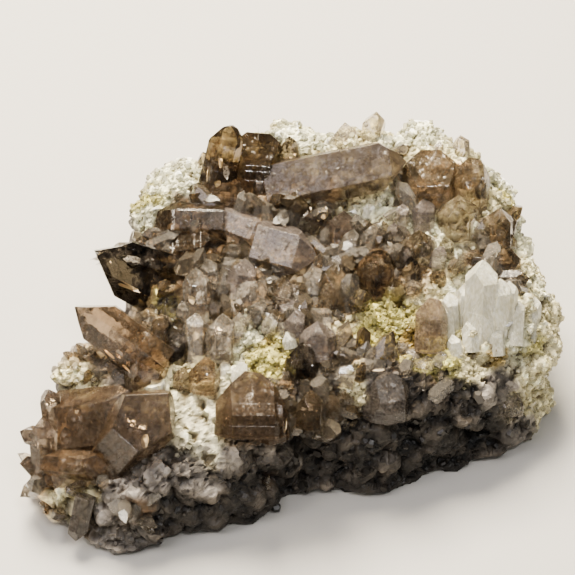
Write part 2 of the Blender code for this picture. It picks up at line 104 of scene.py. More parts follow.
forward = Vector((0.0, math.cos(LOOK_DOWN), -math.sin(LOOK_DOWN)))
picture_up = Vector((0.0, math.sin(LOOK_DOWN), math.cos(LOOK_DOWN)))
eye = LOOK_AT - forward * STAND_OFF
camera = bpy.data.objects.new("camera", bpy.data.cameras.new("camera"))
camera.data.lens = LENS
camera.data.sensor_width = SENSOR
camera.data.clip_start = NEAREST
camera.location = eye
camera.rotation_euler = forward.to_track_quat("-Z", "Y").to_euler()
bpy.context.scene.collection.objects.link(camera)
bpy.context.scene.camera = camera


def ray(across, down):
    """The direction from the camera through a pixel of the photograph."""
    scale = SENSOR / LENS / PICTURE
    right = (across - PICTURE / 2) * scale
    up = (PICTURE / 2 - down) * scale
    return (forward + Vector((1.0, 0.0, 0.0)) * right + picture_up * up).normalized()


print("camera at", [round(c / MM) for c in eye], "mm")

# %% [markdown]
# ## Small helpers
# Colours are written as the sRGB hex values a colour picker shows, and one function turns them into the
# linear values that Blender calculates with. One more function adds a shader node with its settings and
# links, which keeps each material's recipe short enough to read. The others finish a mesh, look at one, or
# make a piece of it.

# %% Helpers for colours, nodes and meshes
def linear(hex_colour):
    """An sRGB hex colour as linear red, green, blue and alpha."""
    channels = [int(hex_colour[i:i + 2], 16) / 255 for i in (1, 3, 5)]
    return [c / 12.92 if c <= 0.04045 else ((c + 0.055) / 1.055) ** 2.4 for c in channels] + [1.0]


def node(tree, kind, inputs=None, **settings):
    """Adds a shader node, applies its settings, and sets or links its inputs."""
    made = tree.nodes.new(kind)
    for name, value in settings.items():
        setattr(made, name, value)
    for name, value in (inputs or {}).items():
        if isinstance(value, bpy.types.NodeSocket):
            tree.links.new(value, made.inputs[name])
        else:
            made.inputs[name].default_value = value
    return made


def new_material(name):
    """A material with an empty recipe."""
    material = bpy.data.materials.new(name)
    material.use_nodes = True
    material.node_tree.nodes.clear()
    return material


def finished_mesh(name, shape):
    """The mesh of a bmesh, which is then thrown away."""
    mesh = bpy.data.meshes.new(name)
    shape.to_mesh(mesh)
    shape.free()
    return mesh


def sight_tree(mesh):
    """A search tree that finds where a line meets a mesh."""
    points = [vertex.co.copy() for vertex in mesh.vertices]
    return BVHTree.FromPolygons(points, [polygon.vertices[:] for polygon in mesh.polygons])


def new_piece(name, mesh):
    """An object for a finished mesh, riding on the specimen's one body."""
    obj = bpy.data.objects.new(name, mesh)
    bpy.context.scene.collection.objects.link(obj)
    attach(obj, "root")
    return obj


def with_modifiers(obj):
    """A new mesh with the object's modifiers applied."""
    bpy.context.view_layer.update()
    graph = bpy.context.evaluated_depsgraph_get()
    return bpy.data.meshes.new_from_object(obj.evaluated_get(graph))


def smoothstep(value, low, high):
    """Rises from 0 at low to 1 at high, level at both ends."""
    t = min(1.0, max(0.0, (value - low) / (high - low)))
    return t * t * (3.0 - 2.0 * t)


def triangles(mesh):
    """How many triangles a mesh comes to."""
    return sum(len(polygon.vertices) - 2 for polygon in mesh.polygons)


print("white is", linear("#FFFFFF"))

# %% [markdown]
# ## The rock's shape
# Vein rock breaks and grows in lumps of a few millimetres, and every lump is itself a bundle of small
# crystals, so up close the surface is made of little flat faces at all angles and not of smooth bumps.
# Sculpting that by hand would take days. A displacement from noise is quick but looks like putty. The
# trick used here is a Voronoi pattern: each cell gets its own random slope, so that the displaced surface
# inside a cell is a flat facet, with a step at its border. Two sizes of cell are laid over each other, 2.8
# and 1.2 mm. The steep wall is broken massive quartz, which has round knobs with creases between them:
# there each cell is a dome. The solid's own mesh is loose triangles, so a copy of it is merged first and
# remeshed to an even net of points.

# %% Rock: an even net of points over the solid
ROCK_NET = 0.46 * MM
rock_solid = frame["nodes"]["rock_matrix"]
merged = bmesh.new()
merged.from_mesh(rock_solid.data)
bmesh.ops.remove_doubles(merged, verts=merged.verts, dist=SAME_POINT)
rock_mesh = finished_mesh("vein_rock", merged)
draft = bpy.data.objects.new("rock draft", rock_mesh)
bpy.context.scene.collection.objects.link(draft)
even = draft.modifiers.new("even net", "REMESH")
even.mode = "VOXEL"
even.voxel_size = ROCK_NET
rock_mesh = with_modifiers(draft)
bpy.data.objects.remove(draft)
print("rock net:", len(rock_mesh.vertices), "points")


# %% Rock: facets and knobs
FACETS = (
    # size of a cell in mm, slope of its facet, spread of its height in mm
    (2.8, 0.30, 0.45),
    (1.2, 0.42, 0.20),
)
KNOBS = (
    # size of a knob and how far it stands out, in mm
    (5.0, 2.4),
    (2.1, 0.9),
)
KNOB_REACH = 0.8  # radius of a knob as a part of its cell's size
WALL_FACETS = 0.3  # how much of the facets is left on the wall
WALL_STEEPNESS = (0.15, 0.60)  # upward part of the normal: all wall below the first, all top over the second
BASE_KEEPS_FLAT = 1.6  # mm over the surface that the rock rests on
NOISE_SPAN = 2.0  # noise stays within about half of one, so it is doubled
# Cells that lie side by side read the noise far apart, so their slopes and heights have nothing in common
SLOPE_STRIDE = 7.3
HEIGHT_STRIDE = 3.1
KNOB_MIDDLE = 0.5  # the part of a knob's height that is taken off again, so that the wall keeps its place


def facet_height(point, size, slope, spread):
    """Height of a field of flat facets at a point, in mm: each Voronoi cell leans its own way."""
    centre = noise.voronoi(point / size)[1][0]
    lean = noise.noise_vector(centre * SLOPE_STRIDE) * slope * NOISE_SPAN
    rise = noise.noise(centre * HEIGHT_STRIDE) * spread * NOISE_SPAN
    return lean.dot(point / size - centre) * size + rise


def knob_height(point, size, height):
    """Height of a field of round knobs at a point, in mm, with creases between them."""
    near = noise.voronoi(point / size)[0][0] / KNOB_REACH
    return (math.sqrt(max(0.0, 1.0 - near * near)) - KNOB_MIDDLE) * height


def rock_height(point, wall):
    """The rock's relief in mm, where wall is 0 on its top and 1 on its steep sides."""
    facets = sum(facet_height(point, *field) for field in FACETS)
    knobs = sum(knob_height(point, *field) for field in KNOBS) if wall > 0.0 else 0.0
    return facets * (1.0 - wall * (1.0 - WALL_FACETS)) + knobs * wall


normals = [vertex.normal.copy() for vertex in rock_mesh.vertices]
relief = np.zeros(len(rock_mesh.vertices))
for index, vertex in enumerate(rock_mesh.vertices):
    point = vertex.co / MM
    wall = 1.0 - smoothstep(normals[index].z, *WALL_STEEPNESS)
    height = rock_height(point, wall) * smoothstep(point.z, 0.0, BASE_KEEPS_FLAT)
    relief[index] = height
    vertex.co += normals[index] * height * MM
    vertex.co.z = max(vertex.co.z, 0.0)
rock_mesh.update()
rock_tree = sight_tree(rock_mesh)
print("rock relief from", round(relief.min(), 2), "to", round(relief.max(), 2), "mm")

# %% [markdown]
# ## Where the rock has which colour
# The crust is white on the rims, stained yellow-green and ochre in a band along the front edge, and brown
# where smoky quartz fills it. The broken wall below is dark, from its own dark stone and from painted shade
# in its slate tone. Such patches have no rule, so each is named with the pixel where it lies in the
# photograph, its reach in millimetres and its tone.
# A point of the rock mixes the tones of the patches near it, with its place shaken by noise, so that the
# borders wander from grain to grain. The result is kept in an attribute, which the material reads.

# %% Tones and patches
TONES = {
    "white": "#CDCCB3",
    "cream": "#BFBBA3",
    "bone": "#C8C1A0",
    "moss": "#BCB57A",
    "ochre": "#A18C58",
    "brown": "#98846A",
    "umber": "#463829",
    "taupe": "#A8997F",
    "grey": "#69645E",
    # slate: the wall's own dark stone, darkened further as painted shade
    "slate_and_shade": "#322E29",
}
PATCHES = (
    # tone, pixel across and down, reach in mm
    ("white", 150, 212, 4), ("white", 170, 180, 5), ("moss", 147, 200, 4), ("white", 290, 128, 5),
    ("white", 320, 136, 4), ("white", 425, 128, 6), ("white", 400, 138, 4), ("umber", 404, 148, 2),
    ("white", 490, 175, 5), ("moss", 508, 200, 4), ("white", 520, 248, 5), ("white", 545, 290, 5),
    ("bone", 550, 330, 4), ("moss", 540, 350, 4), ("brown", 250, 205, 8), ("brown", 200, 235, 8),
    ("umber", 280, 222, 5), ("brown", 340, 235, 7), ("white", 368, 212, 5), ("brown", 330, 270, 6),
    ("taupe", 310, 285, 5), ("brown", 385, 265, 6), ("white", 425, 222, 4), ("white", 450, 240, 5),
    ("bone", 470, 210, 5), ("brown", 440, 190, 6), ("brown", 500, 230, 5), ("brown", 495, 265, 5),
    ("white", 480, 300, 6), ("bone", 430, 300, 5), ("moss", 400, 320, 5), ("moss", 375, 330, 5),
    ("bone", 350, 330, 4), ("ochre", 415, 335, 4), ("moss", 440, 350, 5), ("bone", 470, 350, 5),
    ("ochre", 495, 350, 3), ("white", 520, 345, 4), ("umber", 362, 357, 2), ("umber", 386, 364, 2),
    ("brown", 330, 375, 4), ("brown", 320, 400, 5), ("bone", 345, 390, 4), ("white", 258, 335, 4),
    ("moss", 262, 350, 4), ("ochre", 268, 342, 2), ("white", 235, 362, 3), ("cream", 195, 405, 6),
    ("cream", 185, 430, 5), ("cream", 215, 448, 4), ("bone", 200, 365, 4), ("taupe", 150, 330, 5),
    ("moss", 165, 305, 3), ("taupe", 205, 330, 5), ("brown", 205, 300, 6), ("bone", 75, 375, 4),
    ("taupe", 90, 360, 4), ("brown", 52, 455, 6), ("bone", 70, 490, 4), ("grey", 130, 475, 5),
    ("grey", 170, 460, 6), ("grey", 190, 480, 5), ("grey", 100, 512, 5), ("grey", 112, 538, 6),
    ("slate_and_shade", 190, 515, 9), ("slate_and_shade", 250, 480, 8), ("slate_and_shade", 300, 470, 8), ("slate_and_shade", 350, 450, 8),
    ("grey", 255, 455, 4), ("slate_and_shade", 420, 430, 9), ("grey", 385, 390, 4), ("grey", 505, 390, 5),
    ("slate_and_shade", 470, 440, 8), ("slate_and_shade", 440, 395, 4), ("bone", 535, 400, 4), ("grey", 520, 430, 4),
    ("brown", 290, 310, 5), ("brown", 340, 300, 4), ("bone", 355, 290, 3), ("taupe", 420, 285, 4),
    ("white", 312, 214, 3), ("bone", 340, 216, 3), ("white", 355, 232, 2), ("bone", 330, 250, 2),
    ("moss", 163, 318, 2), ("bone", 186, 375, 3), ("white", 405, 226, 2), ("bone", 392, 290, 2),
    ("white", 276, 324, 2), ("ochre", 268, 341, 2), ("slate_and_shade", 262, 500, 5), ("umber", 440, 392, 3),
    ("bone", 85, 497, 3), ("umber", 140, 512, 3), ("umber", 90, 528, 2), ("grey", 150, 452, 4),
    ("grey", 225, 452, 4), ("slate_and_shade", 455, 412, 4), ("slate_and_shade", 492, 434, 4), ("slate_and_shade", 410, 385, 3),
    ("umber", 262, 478, 3), ("grey", 300, 455, 2), ("umber", 345, 420, 3), ("moss", 275, 345, 3),
    ("umber", 115, 450, 4), ("brown", 102, 463, 3), ("umber", 130, 456, 2), ("umber", 185, 241, 4),
    ("umber", 168, 228, 4), ("umber", 205, 222, 4), ("white", 470, 226, 4), ("bone", 492, 200, 4),
    ("white", 455, 206, 3), ("white", 500, 222, 4), ("white", 388, 262, 3), ("bone", 300, 300, 2),
    ("white", 210, 318, 2),
)
FAR_SIDE = (
    # tone, place in mm, reach in mm, for the sides that the photograph doesn't show
    ("bone", (0, 40, 20), 16), ("grey", (-25, 22, 12), 14), ("bone", (46, 8, 14), 14),
    ("slate_and_shade", (10, 36, 6), 18), ("grey", (-30, 0, 8), 12), ("bone", (24, 36, 22), 14),
    ("white", (42, 22, 22), 10), ("bone", (45, -8, 14), 10), ("grey", (38, 28, 10), 14),
)
print("tones:", len(TONES), "patches:", len(PATCHES) + len(FAR_SIDE))

# %% Which tones a point of the rock gets
SHAKE_SIZE = 2.6  # mm, size of the bays along a patch's border
SHAKE = 2.4  # mm, how strongly a border wanders
TONE_FALL = 9.0  # how fast a tone fades as the distance grows, counted in reaches
FAINTEST = 1e-25  # keeps the shares defined far from every patch
TONE_LIMITS = (0.01, 0.9)  # no stone is darker or paler than this


def on_rock(across, down):
    """Point and normal where the line of sight through a pixel meets the rock."""
    point, normal, _, _ = rock_tree.ray_cast(eye, ray(across, down))
    return point, normal


def patch_list():
    """Every patch as its tone, its middle in mm and its reach in mm."""
    found = []
    for tone, across, down, reach in PATCHES:
        point, _ = on_rock(across, down)
        if point is None:
            print("no rock at", across, down)
            continue
        found.append((tone, point / MM, reach))
    for tone, middle, reach in FAR_SIDE:
        found.append((tone, Vector(middle), reach))
    return found


def tone_shares(points):
    """How much of each tone there is at each of many points in mm."""
    patches = patch_list()
    middles = np.array([list(middle) for _, middle, _ in patches])
    reaches = np.array([reach for _, _, reach in patches])
    shakes = [list(noise.noise_vector(Vector(point) / SHAKE_SIZE) * SHAKE) for point in points]
    shaken = points + np.array(shakes)
    away = np.linalg.norm(shaken[:, None, :] - middles[None, :, :], axis=2) / reaches[None, :]
    weight = np.exp(-TONE_FALL * away) + FAINTEST
    weight /= weight.sum(axis=1, keepdims=True)
    owner = np.array([[tone == name for name in TONES] for tone, _, _ in patches], float)
    return weight @ owner


def share_of(shares, *names):
    """How much of some tones there is, taken together."""
    return sum(shares[:, list(TONES).index(name)] for name in names)


def lay_tones(mesh, colours):
    """Keeps a colour for each point of a mesh, which its material reads."""
    layer = mesh.attributes.new("tone", "FLOAT_COLOR", "POINT")
    layer.data.foreach_set("color", np.hstack([colours, np.ones((len(colours), 1))]).ravel())


# %% [markdown]
# Rust and clay settle in the crevices of a crust, and shade falls there too, so the crevices are darkened
# with stain and painted shade together, and raised grains are made paler as a painted highlight. That dark
# net between the grains is what makes it look old and deep. A crevice is a place that lies under its
# neighbourhood, so the mesh is smoothed in an array copy, and how far each point lies below the smoothed one
# tells how much stain and painted shade it gets.

# %% Rock: lay the tones on it, with a painted highlight on raised grains and stain and painted shade in the crevices
HOLLOW_ROUNDS = 14  # rounds of smoothing, after which a neighbourhood is a few millimetres wide
CREVICE = (0.02, 0.34)  # depth in mm at which the stain and painted shade begin, and at which they are full
CREVICE_STAIN_AND_SHADE = np.array([0.25, 0.21, 0.16])  # what full stain and painted shade leave of red, green and blue
RAISED_GRAIN_HIGHLIGHT = 1.3  # painted highlight: how much a raised grain gains for each mm
WALL_LUMP = 3.4  # mm, size of the light and dark lumps of the wall
WALL_CONTRAST = 2.2  # how many times a lump's brightness doubles from dark to light


def hollows(mesh, rounds):
    """How deep each point lies under its neighbourhood, in mm; a raised point is below zero."""
    count = len(mesh.vertices)
    edges = np.zeros(len(mesh.edges) * 2, int)
    mesh.edges.foreach_get("vertices", edges)
    ends, starts = edges[0::2], edges[1::2]
    points = np.array([list(vertex.co) for vertex in mesh.vertices])
    outward = np.array([list(vertex.normal) for vertex in mesh.vertices])
    links = np.bincount(edges, minlength=count)[:, None]
    smooth = points
    for _ in range(rounds):
        smooth = np.stack([
            np.bincount(ends, smooth[starts, axis], count) + np.bincount(starts, smooth[ends, axis], count)
            for axis in range(3)
        ], axis=1) / links
    return np.einsum("ij,ij->i", smooth - points, outward) / MM


PALETTE = np.array([linear(tone)[:3] for tone in TONES.values()])
rock_points = np.array([list(vertex.co / MM) for vertex in rock_mesh.vertices])
rock_shares = tone_shares(rock_points)
depth = hollows(rock_mesh, HOLLOW_ROUNDS)
# crevices darkened by stain and painted shade together, raised grains lightened as a painted highlight
stain_and_shade = np.clip((depth - CREVICE[0]) / (CREVICE[1] - CREVICE[0]), 0.0, 1.0)[:, None]
raised = 1.0 + np.clip(-depth, 0.0, 1.0)[:, None] * RAISED_GRAIN_HIGHLIGHT
lumps = np.array([noise.noise(Vector(point) / WALL_LUMP) for point in rock_points])
lumps *= share_of(rock_shares, "grey", "slate_and_shade", "umber") * WALL_CONTRAST
rock_colours = (rock_shares @ PALETTE) * raised * (1.0 - stain_and_shade + stain_and_shade * CREVICE_STAIN_AND_SHADE)
rock_colours *= np.exp2(lumps)[:, None]
lay_tones(rock_mesh, np.clip(rock_colours, *TONE_LIMITS))
vein_rock = new_piece("vein_rock", rock_mesh)
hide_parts("rock_matrix")
print("rock:", triangles(rock_mesh), "triangles, hollows to", round(depth.max(), 2), "mm")

# %% [markdown]
# ## Crystals cut by their own faces
# A quartz crystal is a six-sided prism closed by six sloping faces, and each of those looks 51.8 degrees
# off the long axis. Drawn as a cone with six segments it would be too even. Cutting a block with twelve
# planes, each moved in or out a little, gives what the mineral gives: a slanting top edge here, a small
# triangle there. Worn crystals are cut once more between their faces.
# The crystals stand where the solids stand, from the same foot, point, width and turn. Their feet reach on
# into the rock, so no gap shows through the clear crystal.

# %% Crystals: the cutting
UPRIGHT = math.radians(90)
SLOPE_ANGLE = math.radians(51.8)
SIDE_STEP = math.radians(60)
FRONT = Vector((0.0, -1.0, 1.0)).normalized()
# How far out each face lies, as least and most in radii of the crystal: the sides from the long axis, and
# the sloping faces over the point. Every other sloping face is lower and so larger, as quartz grows.
SIDE_REACH = (0.9, 1.08)
LEADING_RISE = (-0.12, 0.0)
LESSER_RISE = (0.15, 0.6)
# The same for a worn crystal's extra cuts: its six edges, its shoulders and its point
WORN_EDGE = (1.02, 1.09)
WORN_SHOULDER = math.radians(71)
WORN_SHOULDER_RISE = (1.3, 1.5)
WORN_POINT = math.radians(16)
WORN_POINT_RISE = (-0.32, -0.12)
ROOT = 0.8 * MM  # how far a standing crystal goes on below its foot
ON_THE_CUT = 0.0001 * MM  # a point this near to a cutting plane lies on it

# A crystal has its foot in the rock, its point, its width across the flats and its turn in degrees. In a
# blunt one the front sloping face is cut down below the point, by cut_down millimetres. A flat one has its
# front side nearer to the long axis, at that part of its radius. A worn one has its edges taken off. A
# chisel is cut down from two opposite sides, the numbered one and the one across from it, and ends in an
# edge.
Crystal = namedtuple(
    "Crystal", "foot tip width turn cut_down flat worn chisel", defaults=(0.0, None, False, None),
)


def everything(shape):
    """All points, edges and faces of a bmesh."""
    return [*shape.verts, *shape.edges, *shape.faces]


def cut_away(shape, point, normal):
    """Cuts off what lies beyond a plane, and closes the cut with a face."""
    bmesh.ops.bisect_plane(
        shape, geom=everything(shape), dist=ON_THE_CUT, plane_co=point, plane_no=normal, clear_outer=True,
    )
    open_edges = [edge for edge in shape.edges if edge.is_boundary]
    if open_edges:
        bmesh.ops.contextual_create(shape, geom=open_edges)


def crystal_frame(foot, tip, turn):
    """The crystal's own axes: Z along it, and X to the front before it is turned."""
    axis = (tip - foot).normalized()
    ahead = (FRONT - axis * FRONT.dot(axis)).normalized()
    turned = Matrix((ahead, axis.cross(ahead), axis)).transposed().to_4x4()
    return Matrix.Translation(foot) @ turned @ Matrix.Rotation(math.radians(turn), 4, "Z")


def looking(angle, lean):
    """The direction at an angle round the long axis and a lean off that axis."""
    return Vector((math.cos(angle) * math.sin(lean), math.sin(angle) * math.sin(lean), math.cos(lean)))


def crystal_faces(label, crystal, length, radius):
    """A point on each face of a crystal that stands on the origin, and the direction the face looks in."""
    chance = random.Random(label)
    faces = []
    for side in range(6):
        outward = looking(side * SIDE_STEP, UPRIGHT)
        reach = chance.uniform(*SIDE_REACH)
        if side == 0 and crystal.flat:
            reach = crystal.flat
        faces.append((outward * radius * reach, outward))
    cut_sides = (0,) if crystal.chisel is None else (crystal.chisel, crystal.chisel + 3)
    for side in range(6):
        rise = chance.uniform(*(LEADING_RISE if side % 2 == 0 else LESSER_RISE)) * radius
        if side in cut_sides:
            rise -= crystal.cut_down * MM
        faces.append((Vector((0.0, 0.0, length + rise)), looking(side * SIDE_STEP, SLOPE_ANGLE)))
    if not crystal.worn:
        return faces
    for side in range(6):
        outward = looking((side + 0.5) * SIDE_STEP, UPRIGHT)
        faces.append((outward * radius * chance.uniform(*WORN_EDGE), outward))
        rise = chance.uniform(*WORN_SHOULDER_RISE) * radius
        faces.append((Vector((0.0, 0.0, length + rise)), looking(side * SIDE_STEP, WORN_SHOULDER)))
    for side in (0, 2, 4):
        rise = chance.uniform(*WORN_POINT_RISE) * radius
        faces.append((Vector((0.0, 0.0, length + rise)), looking((side + 0.5) * SIDE_STEP, WORN_POINT)))
    return faces


def cut_crystal(label, crystal, length, root):
    """A crystal standing on the origin along Z, as a bmesh, with sharp edges."""
    shape = bmesh.new()
    bmesh.ops.create_cube(shape, size=2 * (length + root), matrix=Matrix.Translation((0.0, 0.0, length)))
    for point, outward in crystal_faces(label, crystal, length, crystal.width / 2 * MM):
        cut_away(shape, point, outward)
    return shape


sample = cut_crystal("sample", Crystal(None, None, 6.0, 0), 12 * MM, 0.0)
print("a plain crystal has", len(sample.faces), "faces")
sample.free()

# %% [markdown]
# Real prism faces are crossed by fine growth lines, and real edges are never knife sharp. So before a
# crystal leaves the bench, level cuts are made across it and each ring is drawn in a hair more than the
# one below, and then a bevel of a tenth of a millimetre takes its edges. That narrow band is what flashes
# white in the light. A worn crystal has been etched since it grew, and its edges are round for real: there
# the bevel is up to four times as wide and has three steps.

# %% Crystals: growth lines and worn edges
LINES = 4
LINES_IF_WORN = 2
LINE_STEP = (0.004, 0.012)  # how much a line draws in, as a part of the radius
LINE_WIDTH = 0.12 * MM
EDGE_WEAR = 0.09 * MM
EDGE_WEAR_SHARE = 0.02  # of the crystal's width at most, so that thin crystals keep their faces
ROUNDING = 0.4 * MM
ROUNDING_SHARE = 0.08
SHARP = math.radians(20)  # an edge that turns more than this is taken


def growth_lines(shape, label, length, lines):
    """Level cuts up the prism, each drawing in what is above it by about a hundredth of the radius."""
    chance = random.Random(label + " lines")
    for _ in range(lines):
        level = chance.uniform(0.0, length)
        step = chance.uniform(*LINE_STEP)
        for height in (level, level + LINE_WIDTH):
            bmesh.ops.bisect_plane(
                shape, geom=everything(shape), dist=ON_THE_CUT,
                plane_co=(0.0, 0.0, height), plane_no=(0.0, 0.0, 1.0),
            )
        above = [vertex for vertex in shape.verts if vertex.co.z > level + LINE_WIDTH / 2]
        bmesh.ops.scale(shape, vec=(1.0 - step, 1.0 - step, 1.0), verts=above)


def wear_edges(shape, width, worn):
    """A hairline bevel, or a real rounding on a worn crystal."""
    taken = min(ROUNDING, width * ROUNDING_SHARE) if worn else min(EDGE_WEAR, width * EDGE_WEAR_SHARE)
    sharp = [edge for edge in shape.edges if edge.is_manifold and edge.calc_face_angle() > SHARP]
    bmesh.ops.bevel(
        shape, geom=sharp, offset=taken, segments=3 if worn else 1, profile=0.5, affect="EDGES",
        material=-1, clamp_overlap=True,
    )


def ends_of(crystal):
    """Foot and point of a crystal in metres, from plan millimetres."""
    return (Vector(crystal.foot) - PLAN_MIDDLE) * MM, (Vector(crystal.tip) - PLAN_MIDDLE) * MM


def crystal_mesh(label, crystal, lines):
    """One finished crystal as a mesh, in its place."""
    foot, tip = ends_of(crystal)
    length = (tip - foot).length
    standing = max(0.0, (tip - foot).normalized().z)
    shape = cut_crystal(label, crystal, length, ROOT * standing)
    growth_lines(shape, label, length, lines)
    wear_edges(shape, crystal.width * MM, crystal.worn)
    bmesh.ops.transform(shape, matrix=crystal_frame(foot, tip, crystal.turn), verts=shape.verts)
    bmesh.ops.recalc_face_normals(shape, faces=shape.faces)
    return finished_mesh(label, shape)


# %% [markdown]
# Which crystals there are is the same list that the solids were cut from, in millimetres of the plan, so
# each one here lies in its own solid. A name stands for one solid, and its rows are the crystals that grew
# together in it.

